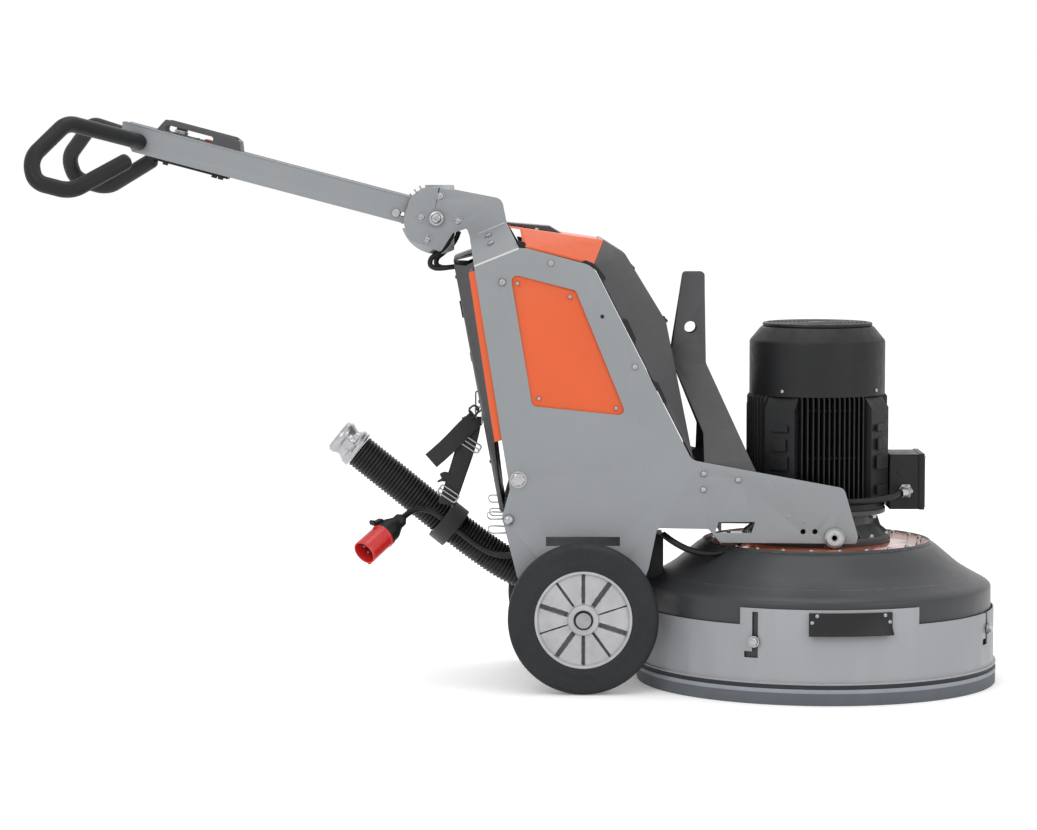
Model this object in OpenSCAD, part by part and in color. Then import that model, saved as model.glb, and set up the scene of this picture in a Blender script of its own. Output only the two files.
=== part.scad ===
// Walk-behind planetary concrete grinder with three discs, a tilting handle and a floating head.
// +X is the front, -Y is the right-hand side, +Z is up, the origin is on the floor at mid length.

/* [Body] */
// Width over the two side plates
body_w = 400; // [350:1:480]
// Thickness of the side plates
plate_t = 5; // [4:0.5:8]
// Height of the handle pivot above the floor
pivot_h = 1072; // [1000:1:1200]
// Distance of the handle pivot behind the middle of the machine
pivot_back = 190; // [170:1:230]
// Width over the two pivot plates at the top of the body
neck_w = 132; // [120:1:160]

/* [Wheels] */
// Outside diameter of the tyres
wheel_d = 342; // [300:1:400]
// Width of the tyres
wheel_w = 64; // [50:1:90]
// Distance of the axle in front of the middle of the machine
axle_x = 145; // [120:1:170]
// Diameter of the axle
axle_d = 25; // [20:1:30]
// Number of ribs on each rim
rim_ribs = 10; // [6:1:14]

/* [Handle] */
// Length of the beam from the pivot to its end
beam_len = 752; // [620:1:900]
// Depth of the beam
beam_depth = 62; // [50:1:74]
// Width of the beam
beam_w = 108; // [90:1:112]
// Wall of the beam
beam_t = 3; // [2:0.5:5]
// Slope of the beam at rest
beam_slope = 14.8; // [5:0.1:30]
// Diameter of the rubber-covered handle loops
grip_d = 37; // [30:1:44]

/* [Head] */
// Distance of the head axis in front of the middle of the machine
head_x = 692; // [650:1:760]
// Outside diameter of the dust skirt
skirt_d = 836; // [800:1:1000]
// Height of the band of the dust skirt
band_h = 125; // [100:1:130]
// Wall of the head cover
cover_t = 2.5; // [2:0.5:4]
// Height of the pivot that the head floats on
float_h = 350; // [345:1:380]
// Diameter of each grinding disc
disc_d = 266; // [220:1:270]
// Number of diamond segments on each disc
segments = 12; // [6:1:18]

/* [Drive] */
// Radius of the pulley on the motor shaft
sun_r = 45; // [35:1:55]
// Radius of the pulley on each planet spindle
planet_pulley_r = 90; // [80:1:95]
// Diameter of the planet spindles
spindle_d = 30; // [25:1:36]
// Thickness of the drive belts
belt_t = 3; // [2:0.5:5]

/* [Motor] */
// Diameter of the fan cowl
cowl_d = 314; // [280:1:330]
// Radius over the cooling fins
fin_r = 163; // [150:1:168]
// Number of cooling fins
fins = 36; // [24:1:48]
// Diameter of the motor shaft
shaft_d = 38; // [28:1:42]

/* [Hose and lead] */
// Outside diameter of the dust hose
hose_d = 80; // [60:1:90]
// Diameter of the mains lead
lead_d = 14; // [10:0.5:16]
// Diameter of the plug body
plug_d = 60; // [50:1:70]

/* [Hidden] */
$fn = 64;
run_gap = 0.05;      // radial clearance of a shaft in its bearing
bolt_gap = 0.2;      // radial clearance of a bolt in its hole
seam = 0.5;          // gap between neighbouring covers
roll_gap = 0.3;      // gap between a friction wheel and its track
half_w = body_w / 2;
neck = neck_w / 2;
pivot = [-pivot_back, pivot_h];
axle = [axle_x, wheel_d / 2];
tip = [head_x + 24, float_h];
skirt_r = skirt_d / 2;
cover_r = skirt_r - 13;
head_top = 324;      // top of the orange plate on the head
wall_low = 55;       // lower edge of the cover's side wall
shoulder_z = 228;    // height of the shoulder of the cover
planet_r = cover_r - cover_t - 4.5 - disc_d / 2;
track_r = cover_r - 40;
wheel_r_in = track_r - roll_gap - planet_r;
motor_base = 403;
motor_top = 831;
bush_r = 20;
bolt_r = 5;
shaft_r = shaft_d / 2;
spindle_r = spindle_d / 2;
lug_y = half_w - plate_t - 4;
wheel_y = half_w + 9;
slot_travel = 12;
index_r = 84;
handle_down = -20;
handle_up = 60;
pin_x = -93;
pin_z = -12;
pin_end = neck - plate_t - 1;
bar_at = [47 - beam_len, -6];
loop_out = beam_w / 2 - 54;
skirt_up = 25;
hose_axis = [-0.778, 0, 0.628];
hose_end = [-372, 0, 531];
guide_z = 139;
panel_top = [-150, 979];
panel_foot = [-41, 388];
panel_tilt = atan2(panel_foot[0] - panel_top[0], panel_top[1] - panel_foot[1]);

// Outline points in X and Z, each hung on the pivot, axle or arm tip that it belongs to
neck_front = pivot + [160, -8];
neck_rear = pivot + [76, -40];
bend_front = pivot + [190, -64];
bend_rear = pivot + [88, -106];
roof_rear = pivot + [209, -65];
roof_front = pivot + [357, -104];
slope_foot = tip + [-324, 177];
rear_mid = [pivot[0] + 147, pivot[1] - 478];
outline = [
    pivot + [-60, 46], pivot + [-25, 71], pivot + [5, 71], pivot + [150, 43], neck_front,
    bend_front, roof_rear, roof_front, slope_foot, tip + [22, 113], tip + [54, 3],
    tip + [50, -14], tip + [-259, -11], tip + [-286, 20], tip + [-402, 22],
    axle + [149, 106], axle + [80, -58], axle + [-80, -58], axle + [-150, 92],
    axle + [-184, 225], axle + [-166, 290], rear_mid, bend_rear, neck_rear,
    pivot + [70, -23], pivot + [38, -34], pivot + [10, -77], pivot + [-66, -48],
    pivot + [-76, -5]];
outline_r = [20, 10, 8, 22, 0, 0, 0, 45, 25, 18, 8, 6, 8, 8, 8, 60, 60, 60, 20, 10, 10, 0, 0, 0,
             4, 6, 8, 20, 30];
window = [pivot + [170, -122], pivot + [318, -160], pivot + [434, -444], pivot + [220, -422]];
arm_slot = [tip + [-271, 11], tip + [-188, 11], tip + [-180, 36], tip + [-263, 36]];
cross_tubes = [pivot + [152, -141], pivot + [452, -333], pivot + [188, -589], axle + [-169, 220]];
bracket_bolts = [tip + [-297, 146], tip + [-298, 110], tip + [-219, 132]];
neck_bolts = [[10, 50], [50, -7], [-20, -48], [-34, 2]];
frame_holes = [tip + [-71, 14], tip + [-44, 14]];

// Routes of the hose, the lead and the cables, chosen by hand
hose_route = [[-372, 0, 531], [-330, 0, 497], [-280, 0, 457], [-230, 0, 416], [-180, 0, 376],
              [-130, 0, 337], [-80, 0, 300], [-30, 0, 267], [20, 0, 244], [70, 0, 231],
              [120, 0, 227], [170, 0, 230], [212, 0, 238], [244, 0, 246], [261, 0, 250]];
lead_route = [[40, -100, 385], [40, -100, 365], [37, -98, 344], [24, -92, 318], [-2, -82, 300],
              [-34, -70, 294], [-66, -60, 300], [-98, -54, 317], [-130, -52, 341],
              [-160, -52, 364], [-190, -53, 388], [-204, -54, 396], [-219, -57, 400],
              [-234, -63, 401], [-248, -72, 397], [-260, -83, 390], [-269, -95, 383]];
cable_route = [[-140, 22, 1040], [-146, 24, 1024], [-158, 26, 1006], [-176, 27, 990],
               [-190, 27, 978], [-192, 26, 964], [-182, 25, 957], [-168, 24, 956],
               [-150, 23, 958]];
conduit_route = [[880, -92, 444], [862, -118, 438], [838, -140, 434], [808, -158, 431],
                 [776, -168, 430], [748, -171, 429]];
loop_route = [[0, 57, -6], [0, 64, -6], [0, 72, -6], [-17, 98, -3], [-55, 134, 0],
              [-95, 172, 0], [-135, 210, -6], [-167, 252, -28], [-188, 292, -62],
              [-193, 322, -98], [-177, 338, -126], [-143, 344, -140], [-101, 340, -142],
              [-63, 328, -132], [-29, 308, -107], [-3, 285, -74], [13, 264, -43]];

function unit(v) = v / norm(v);
function turn(a) = a > 180 ? a - 360 : a < -180 ? a + 360 : a;
function bearing_of(v) = atan2(v[1], v[0]);

// Points of a fillet of radius r at corner q, between neighbours p and s
function fillet(p, q, s, r, steps) =
    let(u = unit(p - q), v = unit(s - q), half = acos(u * v) / 2)
    let(c = q + unit(u + v) * r / sin(half))
    let(a = bearing_of(q + u * r / tan(half) - c), b = bearing_of(q + v * r / tan(half) - c))
    [for (i = [0:steps]) c + r * [cos(a + turn(b - a) * i / steps), sin(a + turn(b - a) * i / steps)]];
function rounded(pts, radii, steps = 5) =
    [for (i = [0:len(pts) - 1]) each radii[i] > 0
        ? fillet(pts[(i + len(pts) - 1) % len(pts)], pts[i], pts[(i + 1) % len(pts)], radii[i], steps)
        : [pts[i]]];

// A smooth curve through hand-chosen points, with some steps between each two
function curve_at(p, q, s, t, f) =
    0.5 * (2 * q + (s - p) * f + (2 * p - 5 * q + 4 * s - t) * f * f
           + (3 * q - p - 3 * s + t) * f * f * f);
function clamp_at(pts, i) = pts[max(0, min(len(pts) - 1, i))];
function smooth(pts, steps) =
    [for (i = [0:len(pts) - 2], k = [0:steps - 1])
        curve_at(clamp_at(pts, i - 1), pts[i], pts[i + 1], clamp_at(pts, i + 2), k / steps),
     pts[len(pts) - 1]];
function tangents(path) =
    [for (i = [0:len(path) - 1]) unit(clamp_at(path, i + 1) - clamp_at(path, i - 1))];
function square_to(n, t) = unit(n - t * (n * t));
function normals(dirs, n, i = 0) =
    i == len(dirs) ? [] : let(m = square_to(n, dirs[i])) concat([m], normals(dirs, m, i + 1));

// A round tube swept along a path, closed at both ends
module swept(path, r, sides) {
    dirs = tangents(path);
    ups = normals(dirs, [0.1, 1, 0.2]);
    last = len(path) - 1;
    pts = [for (i = [0:last], k = [0:sides - 1])
        path[i] + r * (cos(360 * k / sides) * ups[i] + sin(360 * k / sides) * cross(dirs[i], ups[i]))];
    walls = [for (i = [0:last - 1], k = [0:sides - 1])
        [i * sides + k, (i + 1) * sides + k, (i + 1) * sides + (k + 1) % sides, i * sides + (k + 1) % sides]];
    polyhedron(pts, concat(walls, [[for (k = [0:sides - 1]) k],
                                   [for (k = [0:sides - 1]) last * sides + sides - 1 - k]]), 10);
}

// An X-Z shape drawn out along Y, and a rod along Y
module along_y(y0, y1) {
    translate([0, y1, 0]) rotate([90, 0, 0]) linear_extrude(y1 - y0) children();
}
module rod_y(at, r, y0, y1) {
    translate([at[0], y0, at[1]]) rotate([-90, 0, 0]) cylinder(h = y1 - y0, r = r);
}
// The right-hand pieces and their mirror images
module both_sides() {
    children();
    mirror([0, 1, 0]) children();
}
module ring(r_out, r_in, z0, z1) {
    translate([0, 0, z0]) difference() {
        cylinder(h = z1 - z0, r = r_out);
        translate([0, 0, -1]) cylinder(h = z1 - z0 + 2, r = r_in);
    }
}
module block(x, y, z) {
    translate([x[0], y[0], z[0]]) cube([x[1] - x[0], y[1] - y[0], z[1] - z[0]]);
}
module at_head() {
    translate([head_x, 0, 0]) children();
}
module in_handle() {
    translate([pivot[0], 0, pivot[1]]) rotate([0, beam_slope, 0]) children();
}
module at_planet(k) {
    at_head() rotate([0, 0, 120 * k]) translate([planet_r, 0, 0]) children();
}
// A frame on the sloping rear panel: local X points out of it, local Z up along it
module on_panel(down, y) {
    dir = [sin(panel_tilt), -cos(panel_tilt)];
    translate([panel_top[0] + dir[0] * down, y, panel_top[1] + dir[1] * down])
        rotate([0, -panel_tilt, 0]) mirror([1, 0, 0]) children();
}
// A frame on the hose axis, with local Z pointing to the open end
module on_hose_end() {
    translate(hose_end) rotate([0, -atan2(-hose_axis[0], hose_axis[2]), 0]) children();
}

// The sheet that a right-hand side plate is bent from, seen along its two bends
sheet_tilt = bearing_of(bend_front - bend_rear);
sheet_rise = (neck_front - bend_front) * [-sin(sheet_tilt), cos(sheet_tilt)];
sheet_lean = atan2(half_w - neck, sheet_rise);
module along_bends() {
    translate([bend_front[0], 0, bend_front[1]]) rotate([0, -sheet_tilt, 0]) translate([-1500, 0, 0])
        rotate([90, 0, 90]) linear_extrude(3000) children();
}
module bent_sheet() {
    miter = plate_t * tan(sheet_lean / 2);
    along_bends() polygon([[-half_w, -2000], [plate_t - half_w, -2000], [plate_t - half_w, -miter],
                           [plate_t - neck, sheet_rise - miter], [plate_t - neck, 500], [-neck, 500],
                           [-neck, sheet_rise], [-half_w, 0]]);
}
// The space between the two bent sheets, less a seam on each side
module between_sheets() {
    deep = plate_t + seam;
    miter = deep * tan(sheet_lean / 2);
    along_bends() polygon([[deep - half_w, -2000], [deep - half_w, -miter], [deep - neck, sheet_rise - miter],
                           [deep - neck, 500], [neck - deep, 500], [neck - deep, sheet_rise - miter],
                           [half_w - deep, -miter], [half_w - deep, -2000]]);
}
module bolt_holes(points, r) {
    for (p = points) rod_y(p, r, -half_w - 1, plate_t - half_w + 1);
}
module right_plate() {
    difference() {
        intersection() {
            along_y(-half_w - 1, 0) polygon(rounded(outline, outline_r));
            bent_sheet();
        }
        along_y(-half_w - 1, plate_t - half_w + 1) polygon(rounded(window, [12, 12, 12, 12]));
        along_y(-half_w - 1, plate_t - half_w + 1) polygon(arm_slot);
        translate([axle[0] - 84, -half_w - 1, axle[1] + 160]) cube([168, plate_t + 2, 21]);
        bolt_holes(concat(cross_tubes, bracket_bolts), bolt_r + bolt_gap);
        bolt_holes(frame_holes, 6);
        bolt_holes([axle], axle_d / 2 + run_gap);
        bolt_holes([tip], 12 + run_gap);
        rod_y(pivot, 12 + run_gap, -neck - 1, 0);
        for (b = neck_bolts) rod_y(pivot + b, bolt_r + bolt_gap, -neck - 1, 0);
    }
}
module side_plate_right() {
    color([0.57, 0.58, 0.6]) right_plate();
}
module side_plate_left() {
    color([0.57, 0.58, 0.6]) mirror([0, 1, 0]) right_plate();
}
module cross_members() {
    inner = half_w - plate_t;
    color([0.3, 0.3, 0.31]) {
        for (p = cross_tubes) difference() {
            rod_y(p, 14, -inner, inner);
            rod_y(p, bolt_r + bolt_gap, -inner - 1, inner + 1);
        }
        block([tip[0] - 262, tip[0] - 256], [-inner, inner], [tip[1] + 14, tip[1] + 94]);
        difference() {
            block([axle[0] - 155, tip[0] - 262], [-inner, inner], [axle[1] + 229, axle[1] + 232]);
            translate([lead_route[0][0], lead_route[0][1], axle[1]]) cylinder(h = 300, r = 10);
        }
    }
}
// A hexagon bolt with its washer, on the right-hand face at depth y, reaching in by grip
module side_bolt(at, y, r, grip) {
    rod_y(at, 2.2 * r, -y - 1.5, -y);
    translate([at[0], -y - 1.5, at[1]]) rotate([90, 0, 0]) cylinder(h = 1.3 * r, r = 1.8 * r, $fn = 6);
    rod_y(at, r, -y, grip - y);
}
cover_spots = [window[0] + [16, -22], window[1] + [-13, -14], window[2] + [-24, 17], window[3] + [15, 17]];
module fasteners() {
    color([0.25, 0.25, 0.26]) both_sides() {
        for (p = cross_tubes) side_bolt(p, half_w, bolt_r, 22);
        for (p = bracket_bolts) side_bolt(p, half_w, bolt_r, 16);
        for (b = neck_bolts) side_bolt(pivot + b, neck, bolt_r, plate_t);
        for (p = cover_spots) rod_y(p, 5, plate_t - half_w - 2.5, plate_t - half_w);
    }
}
// Shaft that the handle turns on, and the two pins that the head floats on
module pivot_pins() {
    color([0.72, 0.72, 0.74]) {
        rod_y(pivot, 12, -neck - 12, neck + 12);
        both_sides() {
            rod_y(pivot, 17, -neck - 9, -neck);
            difference() {
                union() {
                    rod_y(tip, 12, -half_w, -lug_y + 22);
                    rod_y(tip, 23, -half_w - 9, -half_w);
                }
                translate([tip[0], -half_w - 10, tip[1]]) rotate([-90, 0, 0]) cylinder(h = 7, r = 7, $fn = 6);
            }
        }
    }
}
// Quadrant with notches that the lock pin is pushed into
module index_plate() {
    color([0.6, 0.6, 0.62]) difference() {
        union() {
            intersection() {
                rod_y(pivot, index_r, -4, 4);
                block([pivot[0] - 90, pivot[0] + 40], [-5, 5], [pivot[1] - 90, pivot[1] + 76]);
            }
            rod_y(pivot, bush_r, -14, 14);
        }
        rod_y(pivot, 12, -20, 20);
        for (a = [handle_down:10:handle_up]) translate([pivot[0], 0, pivot[1]])
            rotate([0, beam_slope + a, 0]) translate([-index_r - 2, -5, pin_z - 5.2])
                cube([11, 10, 10.4]);
    }
}

// Covers of the cabinet: a hull between a narrow, tall profile and the side plates' edge
hood_mid = [pivot + [166, -17], pivot + [383, -49], pivot + [432, -80], pivot + [526, -234],
            tip + [-344, 210]];
hood_edge = [roof_rear + [-1, 2], roof_front + [2, 3], slope_foot + [3, 3]];
hood_half = half_w - 90;
module hood_form(inset) {
    drop = [-inset, -inset];
    hull() {
        along_y(-hood_half, hood_half) polygon(concat([for (p = hood_mid) p + drop],
                                                      [[hood_mid[0][0] - inset, slope_foot[1] - inset]]));
        along_y(inset - half_w, half_w - inset) polygon([for (p = hood_edge) p + drop]);
    }
}
module hood_shell() {
    difference() {
        hood_form(0);
        hood_form(3);
        along_y(-half_w - 1, half_w + 1) polygon([for (p = [[-300, -40], [164, -40], [209, -71],
            [354, -110], [577, -545], [560, -900], [-300, -900]]) pivot + p]);
    }
}
hood_cut = [hood_mid[1], hood_edge[1]];
module hood_side_of(way) {
    dir = unit(hood_cut[0] - hood_cut[1]);
    away = [dir[1], -dir[0]] * way;
    along_y(-half_w - 1, half_w + 1) polygon([for (p = [[400, 0.25], [-700, 0.25], [-700, 900], [400, 900]])
        hood_cut[0] + dir * p[0] + away * p[1]]);
}
module hood_top() {
    color([0.89, 0.41, 0.24]) intersection() {
        hood_shell();
        hood_side_of(-1);
        between_sheets();
    }
}
module hood_front() {
    color([0.33, 0.33, 0.34]) intersection() {
        hood_shell();
        hood_side_of(1);
        between_sheets();
    }
}
module rear_form(inset) {
    mid = [panel_top, panel_top + [128, 32], panel_foot + [120, 4], panel_foot];
    edge = [bend_rear + [3, -6], bend_front + [-12, -16], panel_foot + [100, 12], panel_foot + [8, 12]];
    side = half_w - plate_t - seam - 5;
    shift = [inset, -inset * 0.6];
    hull() {
        along_y(45 - side, side - 45) polygon([for (p = mid) p + shift]);
        along_y(-side - inset, side + inset) polygon([for (p = edge) p + shift]);
    }
}
module rear_panel() {
    color([0.27, 0.27, 0.28]) difference() {
        intersection() {
            difference() {
                rear_form(0);
                rear_form(3);
            }
            between_sheets();
            block([-400, 200], [-half_w, half_w], [panel_foot[1] + 18, pivot[1] + 40]);
            along_y(-half_w, half_w) polygon([pivot + [-100, 0], pivot + [158, 0], pivot + [166, -100],
                                              pivot + [180, -800], pivot + [-100, -800]]);
        }
        for (c = [[120, 0], [230, -45], [230, 45]]) on_panel(c[0], c[1])
            translate([-20, 0, 0]) rotate([0, 90, 0]) cylinder(h = 40, r = 11.2);
    }
}
module side_cover() {
    rear = [bend_rear + [-12, -14], rear_mid + [-13, -26]];
    low = pivot + [150, -500];
    y = plate_t - half_w;
    color([0.89, 0.41, 0.24]) difference() {
        along_y(y, y + 2.5) polygon([rear[0], bend_rear + [87, 20], window[0] + [60, 14],
                                     window[1] + [18, 8], window[2] + [26, -30], low, rear[1]]);
        for (p = [cross_tubes[0], cross_tubes[1]]) rod_y(p, 15, y - 1, y + 4);
    }
}
module side_cover_right() {
    side_cover();
}
module side_cover_left() {
    mirror([0, 1, 0]) side_cover();
}
// Mounting plate in the cabinet with the motor drive, contactors and terminal rail
module drive_unit() {
    color([0.6, 0.61, 0.63]) {
        block([36, 39], [-half_w + 40, half_w - 40], [axle[1] + 232, pivot[1] - 150]);
        block([39, 168], [-95, 85], [pivot[1] - 480, pivot[1] - 190]);
        for (i = [0:4]) block([39, 110], [-100 + 40 * i, -66 + 40 * i], [pivot[1] - 620, pivot[1] - 540]);
        block([39, 52], [-120, 120], [pivot[1] - 528, pivot[1] - 500]);
    }
}
// Folded pair of plates that the machine is lifted by, joined at the top
module lifting_bracket() {
    top_y = 20;
    bend = [pivot[0] + 620, 735];
    shape = [tip + [-337, 598], tip + [-287, 598], tip + [-285, 389], tip + [-190, 176], tip + [-171, 136],
             tip + [-190, 100], tip + [-316, 96], tip + [-316, 160], tip + [-296, 170], tip + [-296, 235],
             tip + [-357, 379], tip + [-364, 416], tip + [-357, 463]];
    inner = half_w - plate_t;
    foot_z = tip[1] + 168;
    color([0.3, 0.3, 0.31]) {
        both_sides() intersection() {
            along_y(-half_w, 0) difference() {
                polygon(rounded(shape, [9, 9, 20, 10, 8, 8, 8, 6, 6, 12, 12, 20, 12]));
                translate(tip + [-320, 470]) circle(r = 14);
                for (p = bracket_bolts) translate(p) circle(r = bolt_r + bolt_gap);
            }
            rotate([90, 0, 90]) linear_extrude(2000) polygon([
                [-top_y, 1300], [5 - top_y, 1300], [5 - top_y, 900], [-45, bend[1]],
                [5 - inner, foot_z], [5 - inner, 0], [-inner, 0], [-inner, foot_z + 2], [-50, bend[1] + 2],
                [-top_y, 902]]);
        }
        rod_y(tip + [-312, 570], 9, 5 - top_y, top_y - 5);
    }
}
module axle_shaft() {
    color([0.7, 0.7, 0.72]) {
        rod_y(axle, axle_d / 2, -wheel_y - wheel_w - 3, wheel_y + wheel_w + 3);
        both_sides() {
            rod_y(axle, axle_d / 2 + 8, -wheel_y + 1, -half_w);
            rod_y(axle, axle_d / 2 + 5, -wheel_y - wheel_w - 7, -wheel_y - wheel_w - 1);
        }
    }
}
module cable_gland() {
    color([0.15, 0.15, 0.16]) translate(lead_route[0]) {
        cylinder(h = 6, r1 = 9, r2 = 13);
        translate([0, 0, 6]) cylinder(h = axle[1] + 229 - lead_route[0][2] - 6, r = 14, $fn = 6);
    }
}
module pivot_cables() {
    color([0.12, 0.12, 0.13]) for (shift = [[0, 0, 0], [-13, -50, 0]])
        translate(shift) swept(smooth(cable_route, 3), 6, 8);
}

// Wheels
module rim() {
    hub_r = 34;
    felloe = wheel_d / 2 - 60;
    mid = wheel_y + wheel_w / 2;
    color([0.7, 0.7, 0.71]) difference() {
        union() {
            rod_y(axle, hub_r, -wheel_y - wheel_w + 2, -wheel_y);
            difference() {
                rod_y(axle, felloe, -wheel_y - wheel_w + 4, -wheel_y - 4);
                rod_y(axle, felloe - 8, -wheel_y - wheel_w, -wheel_y);
            }
            rod_y(axle, felloe, -mid - 4, -mid + 4);
            for (i = [0:rim_ribs - 1]) translate([axle[0], -mid, axle[1]]) rotate([0, 360 / rim_ribs * i, 0])
                translate([hub_r - 2, -wheel_w / 2 + 8, -4]) cube([felloe - 6 - hub_r + 2, wheel_w - 16, 8]);
        }
        rod_y(axle, axle_d / 2 + run_gap, -wheel_y - wheel_w - 1, -wheel_y + 1);
    }
}
module tyre() {
    felloe = wheel_d / 2 - 60;
    h = wheel_w / 2;
    color([0.17, 0.18, 0.19]) translate([axle[0], -wheel_y - h, axle[1]]) rotate([90, 0, 0]) rotate_extrude($fn = 96)
        polygon(rounded([[felloe, 4 - h], [wheel_d / 2 - 14, -h], [wheel_d / 2, 12 - h], [wheel_d / 2, h - 12],
                         [wheel_d / 2 - 14, h], [felloe, h - 4]], [0, 6, 12, 12, 6, 0], 3));
}
module rim_right() {
    rim();
}
module rim_left() {
    mirror([0, 1, 0]) rim();
}
module tyre_right() {
    tyre();
}
module tyre_left() {
    mirror([0, 1, 0]) tyre();
}

// Handle
beam_half = beam_w / 2;
module handle_beam() {
    d = beam_depth / 2;
    side = [[-beam_len, d], [-beam_len + 4, d - 22], [-beam_len + 38, -d], [26, -d], [30, d]];
    color([0.57, 0.58, 0.6]) in_handle() difference() {
        union() {
            difference() {
                along_y(-beam_half, beam_half) polygon(side);
                along_y(beam_t - beam_half, beam_half - beam_t)
                    polygon([[-beam_len + beam_t, d - beam_t], [-beam_len + beam_t + 4, d - 22],
                             [-beam_len + beam_t + 38, -d - 1], [40, -d - 1], [40, d - beam_t]]);
            }
            both_sides() rod_y([0, 0], bush_r, -beam_half + 1, -16);
        }
        both_sides() {
            rod_y([0, 0], 12 + run_gap, -beam_half - 1, 0);
            along_y(-beam_half - 1, beam_t - beam_half + 1) translate([pin_x - 7, pin_z - 5.5])
                square([slot_travel + 14, 11]);
        }
        rod_y(bar_at, 16 + bolt_gap, -beam_half - 1, beam_half + 1);
        at_panel_top() for (x = [dial_x, stop_x]) translate([x, 0, -beam_t - 1]) cylinder(h = beam_t + 2, r = 9);
        block([-115, 60], [-5.5, 5.5], [d - beam_t - 1, d + 1]);
        block([-40, 60], [-12, 12], [-40, 40]);
    }
}
module handlebar() {
    color([0.2, 0.2, 0.21]) in_handle() rod_y(bar_at, 16, -beam_half - 3, beam_half + 3);
}
module grip() {
    color([0.12, 0.12, 0.13]) in_handle() translate([bar_at[0], loop_out, 0])
        swept(smooth(loop_route, 4), grip_d / 2, 12);
}
module grip_left() {
    grip();
}
module grip_right() {
    mirror([0, 1, 0]) grip();
}
// The controls stand on top of the beam, with X measured from the handlebar
dial_x = 85;
stop_x = 160;
module at_panel_top() {
    translate([bar_at[0], 0, beam_depth / 2]) children();
}
module guard_bracket() {
    inside = beam_half - 4;
    color([0.3, 0.3, 0.31]) in_handle() at_panel_top() difference() {
        along_y(-beam_half, beam_half)
            polygon(rounded([[32, 0], [48, 30], [208, 30], [224, 24], [233, 0]], [0, 8, 6, 6, 0]));
        along_y(-inside, inside) polygon([[5, -1], [229, -1], [220, 24], [206, 40], [5, 40]]);
        along_y(-beam_half - 1, beam_half + 1)
            polygon(rounded([[51, 4], [164, 4], [164, 18], [51, 18]], [6, 6, 6, 6]));
    }
}
module control_pod() {
    color([0.2, 0.2, 0.21]) in_handle() at_panel_top() difference() {
        block([45, 130], [-38, 38], [0, 3]);
        translate([dial_x, 0, -1]) cylinder(h = 5, r = 9);
    }
}
module speed_knob() {
    color([0.15, 0.15, 0.16]) in_handle() at_panel_top() translate([dial_x, 0, 3.5]) {
        translate([0, 0, -10]) cylinder(h = 11, r = 8.9);
        cylinder(h = 9, r = 16);
        translate([0, 0, 9]) cylinder(h = 14, r1 = 14, r2 = 12);
    }
}
module emergency_stop() {
    color([0.85, 0.3, 0.15]) in_handle() at_panel_top() translate([stop_x, 0, 4.4]) {
        translate([0, 0, -13]) cylinder(h = 14, r = 8.9);
        cylinder(h = 5, r = 19);
    }
}
module cable_duct() {
    d = beam_depth / 2;
    color([0.1, 0.1, 0.11]) in_handle() translate([bar_at[0], 0, 0]) {
        block([29, 217], [-30, 30], [-d - 6, -d]);
        for (x = [69, 185, 200]) translate([x, -22, -d - 11]) cylinder(h = 5, r = 7, $fn = 6);
    }
}
module lock_pin() {
    color([0.75, 0.75, 0.77]) in_handle() {
        rod_y([pin_x, pin_z], 4.8, -pin_end, pin_end);
        both_sides() rod_y([pin_x, pin_z], 9, -pin_end, 3.5 - pin_end);
    }
}
// Push buttons and switch of the rear panel
module panel_button(down, y) {
    on_panel(down, y) translate([-6, 0, 0]) rotate([0, 90, 0]) cylinder(h = 10, r = 11);
}
module start_button() {
    color([0.15, 0.55, 0.25]) panel_button(230, -45);
}
module stop_button() {
    color([0.75, 0.12, 0.1]) panel_button(230, 45);
}
module main_switch() {
    color([0.12, 0.12, 0.13]) {
        panel_button(120, 0);
        on_panel(120, 0) {
            translate([0.5, 0, 0]) rotate([0, 90, 0]) cylinder(h = 3, r = 22);
            translate([3.4, -5, -20]) cube([3.6, 10, 40]);
        }
    }
}

// Head
module head_plate() {
    color([0.8, 0.42, 0.27]) at_head() difference() {
        translate([0, 0, head_top - 6]) cylinder(h = 6, r = cover_r - 143.5);
        translate([0, 0, head_top - 7]) cylinder(h = 8, r = 60);
    }
}
module port_notch(gap) {
    block([head_x - 420, head_x - cover_r + 47 + gap], [-55 - gap, 55 + gap], [208 - gap, 340]);
}
module head_cover() {
    r = cover_r;
    t = cover_t;
    color([0.29, 0.29, 0.3]) difference() {
        at_head() rotate_extrude($fn = 128) polygon([
            [r - 143, head_top - 2], [r - 75, shoulder_z + 42], [r - 5, shoulder_z + 2], [r, shoulder_z - 3],
            [r, wall_low], [r - t, wall_low], [r - t, shoulder_z - 4], [r - 5 - t / 2, shoulder_z - 1],
            [r - 75 - t / 2, shoulder_z + 39], [r - 143, head_top - 5]]);
        port_notch(0.2);
    }
}
module dust_port() {
    rear = head_x - cover_r - 9;
    front = head_x - cover_r + 47;
    color([0.16, 0.16, 0.17]) difference() {
        union() {
            along_y(-55, 55) polygon([[rear, 208], [rear, 292], [rear + 22, 340], [front, 340], [front, 208]]);
            translate([rear - 1, 0, 250]) rotate([0, 90, 0]) cylinder(h = 6, r = 41);
        }
        along_y(-52, 52) polygon([[rear + 3, 211], [rear + 3, 291], [rear + 24, 337], [front - 3, 337],
                                  [front - 3, 262], [front + 1, 262], [front + 1, 211]]);
        translate([rear - 10, 0, 250]) rotate([0, 90, 0]) cylinder(h = 20, r = 35);
    }
}
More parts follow.
